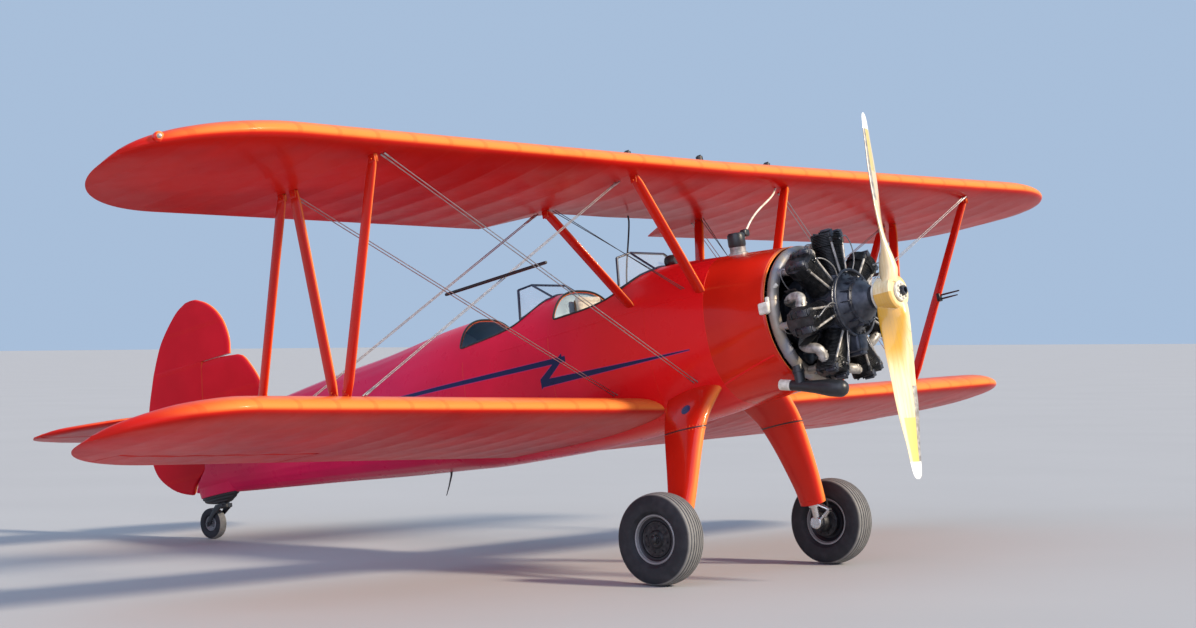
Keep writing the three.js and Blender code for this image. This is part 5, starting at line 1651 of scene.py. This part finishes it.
# Painted shade: the side of each blade's root that faced away from the sun is painted golden brown.
blade_off = prop_y * math.cos(blade_lean) - prop_z * math.sin(blade_lean)
shaded_root_side = (blade_off * prop_z.math("SIGN", prop_z)).faded(-0.040, 0.012)
painted_shade_golden = shaded_root_side * run_out.faded(0.07, 0.13) * (1.0 - run_out.faded(0.34, 0.56))
bare = painted_shade_golden.blended(bare, (0.68, 0.35, 0.02, 1))
bare = (plank * 0.18).blended(bare, (0.60, 0.36, 0.13, 1))
bare = (lamination * 0.35).blended(bare, (0.34, 0.17, 0.06, 1))
band_half = 0.0455 - (run_out - 0.853) * 0.068
banded = (run_out > band_from) * (abs(blade_off) < band_half)
painted = banded.blended(bare, (0.66, 0.53, 0.13, 1))
painted = (run_out > tip_from).blended(painted, (0.86, 0.86, 0.83, 1))
feed(wood_shader, {
    "Base Color": painted,
    "Roughness": grain * 0.2 + 0.22,
    "Normal": grain.bumped(0.0005, 0.25),
})


def blade_section(radius, count=32):
    """A blade's section as (along, across): cambered in front and flat behind, but round at the root."""
    width, thickness = between(blade_table, radius)
    flat = 0.22 + 0.28 * min(max((flat_back_from - radius) / 0.200, 0.0), 1.0)
    return [(along, max(across, -flat * thickness)) for along, across in drop_section(width,
                                                                                      thickness / 1.08,
                                                                                      count)]


def at_pitch(radius, along, across):
    """The place of a section's point on the upper blade, turned to the pitch angle there."""
    angle = math.atan(pitch / (2 * math.pi * radius)) * min(1.0, radius / full_pitch_from)
    return Vector((along * math.sin(angle) + across * math.cos(angle),
                   -along * math.cos(angle) + across * math.sin(angle), radius))


def sheath_ring(radius, reach=5):
    """Points round the metal folded over a blade's leading edge: its outside, then its inside."""
    section = blade_section(radius)
    outside, inside = [], []
    for i in range(-reach, reach + 1):
        along, across = section[i]
        later = section[(i + 1) % len(section)]
        out = Vector((later[1] - section[i - 1][1], section[i - 1][0] - later[0])).normalized()
        outside.append(at_pitch(radius, along + out.x * 0.0012, across + out.y * 0.0012))
        inside.append(at_pitch(radius, along - out.x * 0.0010, across - out.y * 0.0010))
    return outside + inside[::-1]


blades, sheaths = [], []
for half in (0.0, math.pi):
    lean = Matrix.Rotation(half - blade_lean, 3, "X")
    blade = skin([[at_pitch(r, *point) for point in blade_section(r)]
                  for r in steps(0.060, 1.190, 60) + [1.205, 1.216, 1.224, 1.229, 1.232]])
    blades.append(blade)
    bmesh.ops.rotate(blade, cent=(0, 0, 0), matrix=lean, verts=blade.verts)
    sheath = skin([sheath_ring(r) for r in steps(0.620, 1.118, 34)])
    bmesh.ops.rotate(sheath, cent=(0, 0, 0), matrix=lean, verts=sheath.verts)
    sheaths.append(sheath)
boss = turned([(-0.070, 0.0), (-0.070, 0.106), (-0.060, 0.116), (0.058, 0.116), (0.070, 0.104),
               (0.070, 0.0)], 72)
blades.append(boss)
piece("propeller_blades", blades, [wood], ["propeller"], 38.0, "propeller")
piece("propeller_sheaths", sheaths, [satin], body="propeller")

# The steel hub: two flanges clamp the boss with eight bolts, wire-locked in pairs, round the
# shaft nut and its puller thread.
hub_parts = [
    turned([(-0.111, 0.021), (-0.111, 0.040), (-0.0924, 0.094), (-0.0900, 0.098), (-0.0706, 0.098),
            (-0.0704, 0.096),
            (-0.0704, 0.021)], 72),
    turned([(0.0704, 0.0), (0.0704, 0.064), (0.0720, 0.068), (0.0870, 0.068), (0.0900, 0.065),
            (0.0900, 0.0)], 72),
]
for i, angle in enumerate(turns(8)):
    hub_parts.append(bolt_head(round_shaft(0.0900, angle, 0.049), ahead, 0.0085, 0.012))
    hub_parts.append(bolt_head(round_shaft(-0.0915, angle, 0.072), -ahead, 0.009, 0.010))
    if i % 2 == 0:
        hub_parts.append(tube([round_shaft(0.1000, angle, 0.049),
                               round_shaft(0.1000, angle + 2 * math.pi / 8, 0.049)], 0.0008, 6))
nut_parts = [turned([(0.0890, 0.0), (0.0890, 0.035), (0.0960, 0.034), (0.1020, 0.033), (0.1020, 0.029),
                     (0.116, 0.029),
                     (0.118, 0.027), (0.118, 0.018), (0.100, 0.017), (0.100, 0.0)], 60)]
for angle in turns(6, 0.5):
    nut_parts.append(cast_box((0.012, 0.006, 0.004), round_shaft(0.110, angle, 0.0280), 0.001, 1))
# The hub's pale cream stands in for sunlit steel: a painted highlight.
piece("propeller_hub_steel", hub_parts, [pale_cream_finish], ["propeller_hub"], 30.0, "propeller")
piece("propeller_shaft_nut", nut_parts, [castings], (), 30.0, "propeller")

# Each cockpit's edge is bound with a tube under black leather. It follows the open edge of the
# fuselage skin, with the points that lie too close together left out.
for span_name, line in coaming_lines.items():
    thinned = [line[0]]
    for point in line[1:]:
        if (point - thinned[-1]).length > 0.014:
            thinned.append(point)
    piece(span_name.replace("_skin", "_coaming"), tube(thinned, 0.0072, 12, around=True),
          [leather_black])

# Inside each cockpit: a plywood floor on the lower frame, steel side tubes, a stick, pedals, a
# throttle lever and a panel of plain dials under the deck.
floor_height = -0.400
board_width = 0.120
plywood, plywood_shader, plywood_at = new_finish("cockpit_plywood")
along_ply = plywood_at.node("ShaderNodeMapping", {}, {"Vector": plywood_at, "Scale": (2.0, 40.0, 40.0)})
plywood_grain = along_ply.noise(2.0, 5.0)
feed(plywood_shader, {
    "Base Color": plywood_grain.blended((0.16, 0.09, 0.045, 1), (0.34, 0.21, 0.11, 1)),
    "Roughness": plywood_grain * 0.2 + 0.45,
    "Normal": plywood_grain.bumped(0.0005, 0.3),
})
dial_face = plain_finish("dial_face", (60.0, 3.0), (0.008, 0.008, 0.009), (0.014, 0.014, 0.015),
                         Roughness=0.35)
dial_mark = plain_finish("dial_marking", (80.0, 3.0), (0.62, 0.61, 0.56), (0.74, 0.73, 0.68), Roughness=0.5)
cockpits = [("front", -1.262, -2.560, -1.700, -2.330), ("rear", -2.626, -3.560, -2.665, -3.300)]
dial_rows = [(-0.205, 0.315, 0.036), (-0.115, 0.345, 0.044), (0.0, 0.355, 0.046), (0.115, 0.345, 0.044),
             (0.205, 0.315, 0.036), (-0.155, 0.245, 0.034), (-0.055, 0.250, 0.036), (0.055, 0.250, 0.036),
             (0.155, 0.245, 0.034)]
for name, room_front, room_back, panel_x, seat_x in cockpits:
    board_size = (room_front - room_back - 0.060, board_width - 0.004, 0.010)
    board_x = (room_front + room_back) / 2
    boards = [cast_box(board_size, (board_x, board_width * (k - 2), floor_height - 0.007), 0.002, 2)
              for k in range(5)]
    piece(f"{name}_cockpit_floor", boards, [plywood])
    frame_tubes = []
    for side in (-1, 1):
        for z in (-0.30, 0.05, 0.30):
            path = []
            for x in steps(room_front - 0.03, room_back + 0.03, 7):
                point, normal = on_hull(x, z, side)
                path.append(point - normal * 0.040)
            frame_tubes.append(tube(path, 0.0125, 12))
        for k in range(3):
            x = room_front - 0.10 - k * (room_front - room_back - 0.20) / 2
            posts = []
            for z in (-0.30, -0.12, 0.05, 0.18, 0.30):
                point, normal = on_hull(x, z, side)
                posts.append(point - normal * 0.040)
            frame_tubes.append(tube(posts, 0.011, 12))
        pedal_x = panel_x + 0.17
        foot = Vector((pedal_x, side * 0.115, floor_height))
        frame_tubes.append(tube([foot, foot + Vector((0.01, 0, 0.15))], 0.010, 12))
        frame_tubes.append(cast_box((0.022, 0.095, 0.075), (pedal_x + 0.012, side * 0.115,
                                                            floor_height + 0.175), 0.006, 2))
    piece(f"{name}_cockpit_frame", frame_tubes, [black_metal])
    board = bmesh.new()
    bmesh.ops.create_circle(board, cap_ends=True, segments=64, radius=1.0)
    top, bottom, hull_half, power = between(fuselage_rows, panel_x)
    for vert in board.verts:
        angle = math.atan2(vert.co.y, vert.co.x)
        y = (hull_half - 0.022) * math.copysign(abs(math.cos(angle)) ** (2 / power), math.cos(angle))
        z = (top - 0.022) * math.copysign(abs(math.sin(angle)) ** (2 / power), math.sin(angle))
        vert.co = Vector((panel_x, y, max(z, 0.195)))
    bmesh.ops.remove_doubles(board, verts=board.verts, dist=0.0005)
    bmesh.ops.recalc_face_normals(board, faces=board.faces)
    bmesh.ops.solidify(board, geom=board.faces[:], thickness=0.004)
    piece(f"{name}_instrument_board", board, [black_metal])
    bezels, faces, marks = [], [], []
    for y, z, radius in dial_rows:
        spot = Vector((panel_x - 0.0045, y, z))
        bezels.append(lathed([(0.0, radius), (0.010, radius), (0.013, radius - 0.003),
                              (0.012, radius - 0.006), (0.004, radius - 0.007)], 40, spot, (-1, 0, 0)))
        faces.append(lathed([(0.0, radius - 0.001), (0.0045, radius - 0.006), (0.0045, 0.0)], 40, spot,
                            (-1, 0, 0)))
        for k, angle in enumerate(turns(12)):
            tick = cast_box((0.0008, 0.0016, 0.0050 if k % 3 else 0.0080), (0, 0, radius - 0.012), 0.0002,
                            1)
            marks.append(laid(radial(tick, -angle), spot - ahead * 0.0052))
        needle = cast_box((0.0008, 0.0020, radius * 0.78), (0, 0, radius * 0.28), 0.0002, 1)
        marks.append(laid(radial(needle, -(y * 9 + z * 7)), spot - ahead * 0.0062))
    piece(f"{name}_dial_bezels", bezels, [hub_dark])
    piece(f"{name}_dial_faces", faces, [dial_face])
    piece(f"{name}_dial_marks", marks, [dial_mark])
    stick_foot = Vector((seat_x + 0.480, 0.0, floor_height))
    controls = [
        tube([stick_foot, stick_foot + Vector((0.0, 0, 0.12)), stick_foot + Vector((-0.035, 0, 0.30)),
              stick_foot + Vector((-0.030, 0, 0.42))], 0.011, 14),
        lathed([(0.0, 0.0), (0.0, 0.052), (0.012, 0.050), (0.045, 0.020), (0.050, 0.0)], 32, stick_foot,
               upright),
    ]
    grip_from = stick_foot + Vector((-0.0305, 0, 0.405))
    grip = tube([grip_from, grip_from + Vector((0, 0, 0.01)), grip_from + Vector((0.002, 0, 0.09)),
                 grip_from + Vector((0.002, 0, 0.105))], [0.012, 0.0165, 0.0175, 0.010], 18)
    lever_foot, lever_normal = on_hull(seat_x + 0.40, 0.16, 1)
    lever_foot -= lever_normal * 0.055
    controls.append(cast_box((0.150, 0.030, 0.070), lever_foot, 0.006, 2))
    for shift in (-0.03, 0.03):
        low = lever_foot + Vector((shift, 0, 0.02))
        controls.append(tube([low, low + Vector((0.03, -0.004, 0.085))], 0.0045, 10))
        controls.append(tube([low + Vector((0.03, -0.004, 0.078)), low + Vector((0.031, -0.004, 0.084)),
                              low + Vector((0.036, -0.004, 0.100)), low + Vector((0.037, -0.004, 0.106))],
                             [0.005, 0.012, 0.012, 0.004], 16))
    piece(f"{name}_controls", controls, [steel])
    piece(f"{name}_stick_grip", grip, [rubber])

# The seats: pressed metal buckets on tube legs, each with a leather pan cushion and back cushion
# and webbing lap and shoulder belts. The front one has a padded head rest behind it as well.
seat_half, seat_length, back_top = 0.200, 0.400, 0.330
bucket_paint = worn_finish("bucket_seat_paint", (20.0, 5.0), (0.09, 0.12, 0.13), (0.17, 0.20, 0.21),
                           (0.3, 0.35), (0.0004, 0.4), fade=(0.4, 0.75), grain=(150.0, 3.0))
cushion_hide, hide_shader, hide_at = new_finish("cream_leather")
hide_grain = hide_at.node("ShaderNodeTexVoronoi", {"feature": "DISTANCE_TO_EDGE"},
                          {"Vector": hide_at, "Scale": 420.0})
hide_wear = hide_at.noise(16.0, 5.0)
feed(hide_shader, {
    "Base Color": hide_wear.faded(0.35, 0.75).blended((0.66, 0.59, 0.46, 1), (0.80, 0.75, 0.64, 1)),
    "Roughness": hide_wear * 0.25 + 0.42,
    "Normal": (hide_grain * 1.5 + hide_at.noise(90.0, 3.0) * 0.6).bumped(0.0006, 0.5),
})
webbing, webbing_shader, webbing_at = new_finish("belt_webbing", Roughness=0.85)
webbing_weave = woven(webbing_at, 0.0024) * 0.5 + 0.5
feed(webbing_shader, {
    "Base Color": webbing_weave.blended((0.10, 0.105, 0.075, 1), (0.21, 0.21, 0.155, 1)),
    "Normal": webbing_weave.bumped(0.0005, 0.6),
})


def swollen(pad, cap, voxel=0.006, last_frame=20):
    """A pad blown up from inside by the cloth solver, with no point moved further than the cap."""
    mesh = bpy.data.meshes.new("pad")
    pad.to_mesh(mesh)
    pad.free()
    cushion = bpy.data.objects.new("pad", mesh)
    bpy.context.collection.objects.link(cushion)
    even = cushion.modifiers.new("even", "REMESH")
    even.mode = "VOXEL"
    even.voxel_size = voxel
    remeshed = cushion.evaluated_get(bpy.context.evaluated_depsgraph_get())
    cushion.data = bpy.data.meshes.new_from_object(remeshed)
    cushion.modifiers.clear()
    cloth = cushion.modifiers.new("cloth", "CLOTH")
    cloth.settings.quality = 5
    cloth.settings.use_pressure = True
    cloth.settings.uniform_pressure_force = 4.0
    cloth.settings.effector_weights.gravity = 0.0
    for frame_number in range(1, last_frame + 1):
        bpy.context.scene.frame_set(frame_number)
    full = cushion.evaluated_get(bpy.context.evaluated_depsgraph_get()).to_mesh()
    moves = [new.co - old.co for new, old in zip(full.vertices, cushion.data.vertices)]
    cushion.modifiers.clear()
    for vert, move in zip(cushion.data.vertices, moves):
        vert.co += move * min(1.0, cap / max(move.length, 1e-9))
    bpy.context.scene.frame_set(1)
    full_pad = bmesh.new()
    full_pad.from_mesh(cushion.data)
    bpy.data.objects.remove(cushion)
    return full_pad


def quilted(pad, channels, axis, depth, width):
    """Presses sewn channels into a pad's upper face, across one of its axes."""
    for vert in pad.verts:
        if vert.co.z < 0:
            continue
        press = max(math.exp(-((vert.co[axis] - place) / width) ** 2) for place in channels)
        vert.co.z -= depth * press
    return pad


def cushion_piece(name, pad, place, lean):
    """A leather cushion, smoothed by one level of subdivision."""
    made = piece(name, laid(pad, place, lean), [cushion_hide], (), 180.0)
    finer = made.modifiers.new("finer", "SUBSURF")
    finer.levels = 1
    finer.render_levels = 1
    return made


def piping(half_x, half_y, z, corner, place, lean):
    """The welt sewn round a cushion at one height."""
    path = []
    for cx, cy, start in ((1, 1, 0), (-1, 1, 90), (-1, -1, 180), (1, -1, 270)):
        for angle in steps(start, start + 90, 7):
            path.append(Vector((cx * (half_x - corner) + corner * math.cos(math.radians(angle)),
                                cy * (half_y - corner) + corner * math.sin(math.radians(angle)), z)))
    return laid(tube(path, 0.0032, 8, around=True), place, lean)


belt_half_thickness = 0.0012


def strap(corners, wide_way, half_width, square):
    """A flat belt along a line. Its width lies along a direction, or square to its run if asked."""
    way = [Vector(point) for point in rounded(corners)]
    rings = []
    for point, following in zip(way, way[1:] + [2 * way[-1] - way[-2]]):
        run = (following - point).normalized()
        across = (wide_way - run * run.dot(wide_way)).normalized() if square else wide_way
        lift = run.cross(across).normalized() * belt_half_thickness
        rings.append([point + across * a * half_width + lift * b for a, b in ((-1, -1), (1, -1), (1, 1),
                                                                              (-1, 1))])
    return skin(rings)


back_lean = math.atan2(0.100, back_top - floor_height)
for name, _, _, _, seat_x in cockpits:
    shell = [
        cast_box((seat_length + 0.020, 2 * seat_half - 0.010, 0.012), (seat_x + 0.185, 0, -0.165), 0.004,
                 2),
        cast_box((0.012, 2 * seat_half - 0.010, 0.090), (seat_x + 0.390, 0, -0.128), 0.004, 2),
    ]
    for side in (-1, 1):
        shell.append(cast_box((seat_length + 0.010, 0.010, 0.110),
                              (seat_x + 0.185, side * (seat_half - 0.006), -0.115),
                              0.004, 2))
        shell.append(laid(cast_box((0.075, 0.010, 0.420), (0, side * (seat_half - 0.006), 0), 0.004, 2),
                          Vector((seat_x - 0.022, 0, 0.085)), -back_lean))
        for x in (0.02, 0.35):
            shell.append(tube([(seat_x + x, side * 0.150, -0.165), (seat_x + x + 0.01, side * 0.165,
                                                                    floor_height)],
                              0.011, 12))
    shell.append(laid(cast_box((0.012, 2 * seat_half - 0.010, 0.490), (0, 0, 0), 0.005, 2),
                      Vector((seat_x - 0.058, 0, 0.080)), -back_lean))
    shell.append(laid(tube([(0, -seat_half + 0.006, 0.245), (0, seat_half - 0.006, 0.245)], 0.009, 12),
                      Vector((seat_x - 0.058, 0, 0.080)), -back_lean))
    piece(f"seat_{name}_bucket", shell, [bucket_paint], [f"seat_{name}"])
    pan_place = Vector((seat_x + 0.190, 0, -0.118))
    pan = quilted(swollen(cast_box((0.350, 0.350, 0.062), (0, 0, 0), 0.020, 4), 0.014),
                  (-0.10, -0.035, 0.03, 0.095), 0,
                  0.007, 0.007)
    cushion_piece(f"seat_{name}_pan_cushion", pan, pan_place, 0.0)
    back_place = Vector((seat_x - 0.018, 0, 0.100))
    turned_up = math.pi / 2 - back_lean
    back = quilted(swollen(cast_box((0.400, 0.350, 0.046), (0, 0, 0), 0.016, 4), 0.012),
                   (-0.12, -0.04, 0.04, 0.12), 0,
                   0.006, 0.007)
    cushion_piece(f"seat_{name}_back_cushion", back, back_place, turned_up)
    welts = [piping(0.178, 0.178, 0.012, 0.03, pan_place, 0.0), piping(0.203, 0.178, 0.008, 0.03,
                                                                       back_place, turned_up)]
    piece(f"seat_{name}_cushion_welts", welts, [cushion_hide])
    belts, buckles = [], []
    for side in (-1, 1):
        lap = [(seat_x + 0.02, side * 0.185, -0.10), (seat_x + 0.06, side * 0.170, -0.045),
               (seat_x + 0.14, side * 0.110, -0.058), (seat_x + 0.19, side * 0.030, -0.052)]
        shoulder = [(seat_x - 0.105, side * 0.085, 0.300), (seat_x - 0.085, side * 0.080, 0.352),
                    (seat_x - 0.010, side * 0.075, 0.318), (seat_x + 0.020, side * 0.065, 0.150),
                    (seat_x + 0.055, side * 0.050, -0.010), (seat_x + 0.150, side * 0.035, -0.050)]
        belts += [strap(lap, ahead, 0.022, True), strap(shoulder, abeam, 0.020, False)]
        buckles.append(cast_box((0.046, 0.012, 0.008), (seat_x + 0.185, side * 0.034, -0.048), 0.003, 2))
    buckles.append(cast_box((0.040, 0.050, 0.012), (seat_x + 0.190, 0.0, -0.046), 0.004, 3))
    piece(f"seat_{name}_belts", belts, [webbing])
    piece(f"seat_{name}_buckles", buckles, [polished])
head_rest = quilted(swollen(cast_box((0.130, 0.250, 0.055), (0, 0, 0), 0.020, 4), 0.014), (-0.02,), 0,
                    0.006, 0.008)
cushion_piece("front_head_rest", head_rest, Vector((-2.530, 0, 0.470)), math.pi / 2)
rest_post = [cast_box((0.014, 0.200, 0.120), (-2.575, 0, 0.455), 0.004, 2)]
piece("front_head_rest_board", rest_post, [plywood])

# The windshields: a raked front pane and two side panes in dark tube frames, each standing on
# the deck and along the cockpit's edge.
clear_pane, pane_shader, pane_at = new_finish("clear_acrylic", Alpha=0.10, Coat_Weight=0.5,
                                              Coat_Roughness=0.03)
feed(pane_shader, {"Base Color": pane_at.noise(20.0, 4.0).blended((0.70, 0.80, 0.86, 1),
                                                                  (0.80, 0.87, 0.90, 1)),
                   "Roughness": pane_at.noise(45.0, 5.0) * 0.10 + 0.03})
pane_frame = worn_finish("windshield_frame", (50.0, 4.0), (0.014, 0.020, 0.045), (0.035, 0.045, 0.085),
                         (0.25, 0.22), (0.0004, 0.3))
windshields = [
    ("front", {"base_x": -1.640, "top_x": -1.930, "foot": 0.470, "top": 0.715}, front_opening),
    ("rear", {"base_x": -2.590, "top_x": -2.870, "foot": 0.485, "top": 0.692}, rear_opening),
]
pane_shape = {"base_half": 0.170, "top_half": 0.190, "side_half": 0.300, "side_back": 0.040,
              "side_drop": 0.030}
pane_thickness = 0.004


def sheet_of(rows, thickness):
    """A thin sheet through rows of points, with its thickness even on both sides."""
    sheet = bmesh.new()
    line = [sheet.verts.new(point) for point in rows[0]]
    edges = [sheet.edges.new(pair) for pair in zip(line, line[1:])]
    for row in rows[1:]:
        line, edges = grown_row(sheet, line, edges, row)
    bmesh.ops.recalc_face_normals(sheet, faces=sheet.faces)
    bmesh.ops.solidify(sheet, geom=sheet.faces[:], thickness=thickness)
    return sheet


def rim_point(opening, x, side):
    """The edge of a cockpit opening at a station, on the fuselage side."""
    line = sorted(rounded(opening))
    height = straight(line, x)
    point, normal = on_hull(x, min(height, 0.56), side, 0.012)
    return point


for name, shape, opening in windshields:
    top_edge = [Vector((shape["top_x"], y, shape["top"])) for y in
                steps(-pane_shape["top_half"], pane_shape["top_half"], 13)]
    foot_edge = [Vector((shape["base_x"], y, shape["foot"])) for y in
                 steps(-pane_shape["base_half"], pane_shape["base_half"], 13)]
    deck_edge = []
    for high, low in zip(top_edge, foot_edge):
        hit, _, _, _ = hull_tree.ray_cast(high, low - high)
        deck_edge.append((hit or low) + (high - low).normalized() * 0.004)
    glass = [sheet_of([deck_edge, top_edge], pane_thickness)]
    bars = [tube(top_edge, 0.0085, 12), tube([point + Vector((0.003, 0, 0.002)) for point in deck_edge],
                                             0.0095, 12)]
    for side in (-1, 1):
        front_top = top_edge[-1 if side > 0 else 0]
        front_foot = deck_edge[-1 if side > 0 else 0]
        back_x = shape["top_x"] - pane_shape["side_back"]
        back_top_point = Vector((back_x, side * pane_shape["side_half"],
                                 shape["top"] - pane_shape["side_drop"]))
        back_foot = rim_point(opening, back_x, side)
        back_foot.y = side * (abs(back_foot.y) - 0.010)
        rim = [front_foot]
        for share in (0.2, 0.4, 0.6, 0.8):
            x = front_foot.x + (back_x - front_foot.x) * share
            guess = front_foot.lerp(back_foot, share)
            edge = rim_point(opening, x, side)
            edge.y = guess.y
            deck, _, _, _ = hull_tree.ray_cast(Vector((x, guess.y, 1.0)), Vector((0, 0, -1)))
            edge.z = min(deck.z + 0.004, max(edge.z, guess.z - 0.02))
            rim.append(edge)
        rim.append(back_foot)
        top_line = [front_top.lerp(back_top_point, share) for share in (0, 0.2, 0.4, 0.6, 0.8, 1.0)]
        glass.append(sheet_of([rim, top_line], pane_thickness))
        bars.append(tube([front_foot, front_top], 0.0080, 12))
        bars.append(tube(top_line, 0.0080, 12))
        bars.append(tube([back_foot, back_top_point], 0.0095, 12))
        bars.append(tube(rim, 0.0085, 12))
    piece(f"windshield_{name}_panes", glass, [clear_pane], [f"windshield_{name}"])
    piece(f"windshield_{name}_frame", bars, [pane_frame])

# Small fittings: fuel caps on the centre section, the fuel line down to the deck, the oil filler on the
# nose, lamps at the wing tips, the pitot head on the left front strut, a whip aerial under the belly, and
# the walkways on the lower wing roots.
caps = []
for y, height in ((-0.80, 0.030), (0.0, 0.045), (0.80, 0.030)):
    seat_point = on_wing("upper", y, 0.230, 1, -0.002)
    caps.append(lathed([(0.0, 0.0), (0.0, 0.034), (0.006, 0.034), (0.007, 0.026), (height - 0.004, 0.024),
                        (height, 0.018), (height, 0.0)], 36, seat_point, upright))
    caps.append(cast_box((0.034, 0.006, 0.010), seat_point + Vector((0, 0, height + 0.002)), 0.002, 2))
piece("centre_section_caps", caps, [hub_dark])
deck_point, deck_normal = on_deck(-1.100, -0.070)
filler = [lathed([(-0.006, 0.0), (-0.006, 0.070), (0.006, 0.068), (0.012, 0.055), (0.055, 0.055),
                  (0.058, 0.0)], 40, deck_point, deck_normal)]
filler_cap = [lathed([(0.050, 0.0), (0.050, 0.056), (0.062, 0.061), (0.130, 0.061), (0.146, 0.050),
                      (0.150, 0.0)], 40, deck_point, deck_normal),
              cast_box((0.050, 0.060, 0.050), deck_point + Vector((0.035, 0.066, 0.142)), 0.014, 4)]
compass = [lathed([(-0.045, 0.0), (-0.042, 0.030), (-0.030, 0.042), (0.0, 0.046), (0.030, 0.042),
                   (0.045, 0.030), (0.047, 0.0)], 28, (-1.730, 0.0, 0.612), ahead),
           cast_box((0.060, 0.060, 0.040), (-1.730, 0.0, 0.565), 0.006, 2)]
piece("front_compass", compass, [black_metal])
vent_top = on_wing("upper", 0.790, front_spar + 0.030, -1)
vent = rounded([tuple(vent_top), tuple(vent_top + Vector((0.010, -0.060, -0.060))), (-1.190, 0.330, 0.840),
                (-1.150, 0.120, 0.690), (-1.140, 0.060, 0.600), (-1.140, 0.050, 0.510)], 3)
piece("tank_vent_hose", tube(vent, 0.0075, 12), [pale_cream_finish])
piece("oil_filler_neck", filler, [satin])
piece("oil_filler_cap", filler_cap, [black_metal])
fuel_top = on_wing("upper", 0.0, 0.945, -1)
fuel_foot = Vector((-2.085, -0.100, 0.420))
lines = [tube(rounded([tuple(fuel_top + Vector((0, 0, 0.004))), tuple(fuel_top + Vector((0, 0, -0.06))),
                       tuple(fuel_foot + Vector((0, 0, 0.12))),
                       tuple(fuel_foot + Vector((0.004, 0, -0.12)))], 2), 0.0062, 12)]
for side in (-1, 1):
    for shift in (-0.012, 0.012):
        wire_top = on_wing("upper", side * 0.840, rear_spar - 0.050 + shift, -1)
        lines.append(tube([wire_top, Vector((-1.360 + shift, side * 0.385, 0.315))], 0.0026, 8))
piece("fuel_line_and_cabane_wires", lines, [black_metal])
lamp_glass = plain_finish("lamp_lens", (30.0, 2.0), (0.40, 0.34, 0.30), (0.50, 0.44, 0.40), Roughness=0.08,
                          Coat_Weight=0.6)
lamp_span = 4.80
lamp_parts, lamp_bases = [], []
for y in (-lamp_span, lamp_span):
    nose, tail, depth = wing_plan("upper", y)
    spot = wing_point("upper", y, nose + 0.030, depth * section_height(0.03, 1) * 0.6 + 0.004)
    shell_rows = [(-0.100, 0.0), (-0.098, 0.006), (-0.080, 0.016), (-0.040, 0.029), (0.0, 0.034),
                  (0.020, 0.031),
                  (0.030, 0.020), (0.031, 0.0)]
    lamp_bases.append(lathed(shell_rows, 28, spot, (1.0, math.copysign(0.45, y), 0.06)))
    lamp_parts.append(lathed([(0.026, 0.0), (0.026, 0.0155), (0.036, 0.014), (0.045, 0.008),
                              (0.047, 0.0)], 24, spot, (1.0, math.copysign(0.45, y), 0.06)))
piece("navigation_lamp_lenses", lamp_parts, [lamp_glass])
piece("navigation_lamp_bases", lamp_bases, [enamel])
strut_low = on_wing("lower", strut_lower, front_spar, 1)
strut_high = on_wing("upper", strut_upper, front_spar, -1)
pitot_at = strut_low.lerp(strut_high, 0.46)
pitot = [
    tube([pitot_at + Vector((0.034, 0, 0)), pitot_at + Vector((0.10, 0, 0.0)),
          pitot_at + Vector((0.21, 0, 0.0))],
         [0.007, 0.007, 0.0055], 12),
    tube([pitot_at + Vector((0.034, 0, -0.03)), pitot_at + Vector((0.10, 0, -0.03)),
          pitot_at + Vector((0.19, 0, -0.03))],
         [0.007, 0.007, 0.0045], 12),
    cast_box((0.030, 0.044, 0.065), pitot_at + Vector((0.022, 0, -0.015)), 0.006, 2),
]
piece("pitot_head", pitot, [black_metal])
aerial = [tube([(-4.100, 0, -0.464), (-4.110, 0, -0.500), (-4.150, 0, -0.575), (-4.190, 0, -0.640)],
               [0.010, 0.0075, 0.0050, 0.0030], 12), lathed([(-0.006, 0.0), (-0.006, 0.032),
                                                             (0.003, 0.030), (0.008, 0.014),
                                                             (0.008, 0.0)], 28, (-4.100, 0, -0.468),
                                                            -upright)]
piece("belly_aerial", aerial, [black_metal])
step_pads = []
for side in (-1, 1):
    rows = []
    for aft in steps(0.30, 1.40, 30):
        rows.append([on_wing("lower", side * y, aft, 1, 0.0016) for y in steps(0.470, 0.760, 9)])
    step_pads.append(sheet_of(rows, 0.0022))
grip_pad, grip_shader, grip_at = new_finish("walkway_grit", Roughness=0.92)
feed(grip_shader, {"Base Color": grip_at.noise(300.0, 4.0).blended((0.010, 0.010, 0.011, 1),
                                                                   (0.045, 0.045, 0.047, 1)),
                   "Normal": grip_at.noise(420.0, 3.0).bumped(0.0010, 0.9)})
piece("wing_walkways", step_pads, [grip_pad])

low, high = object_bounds()
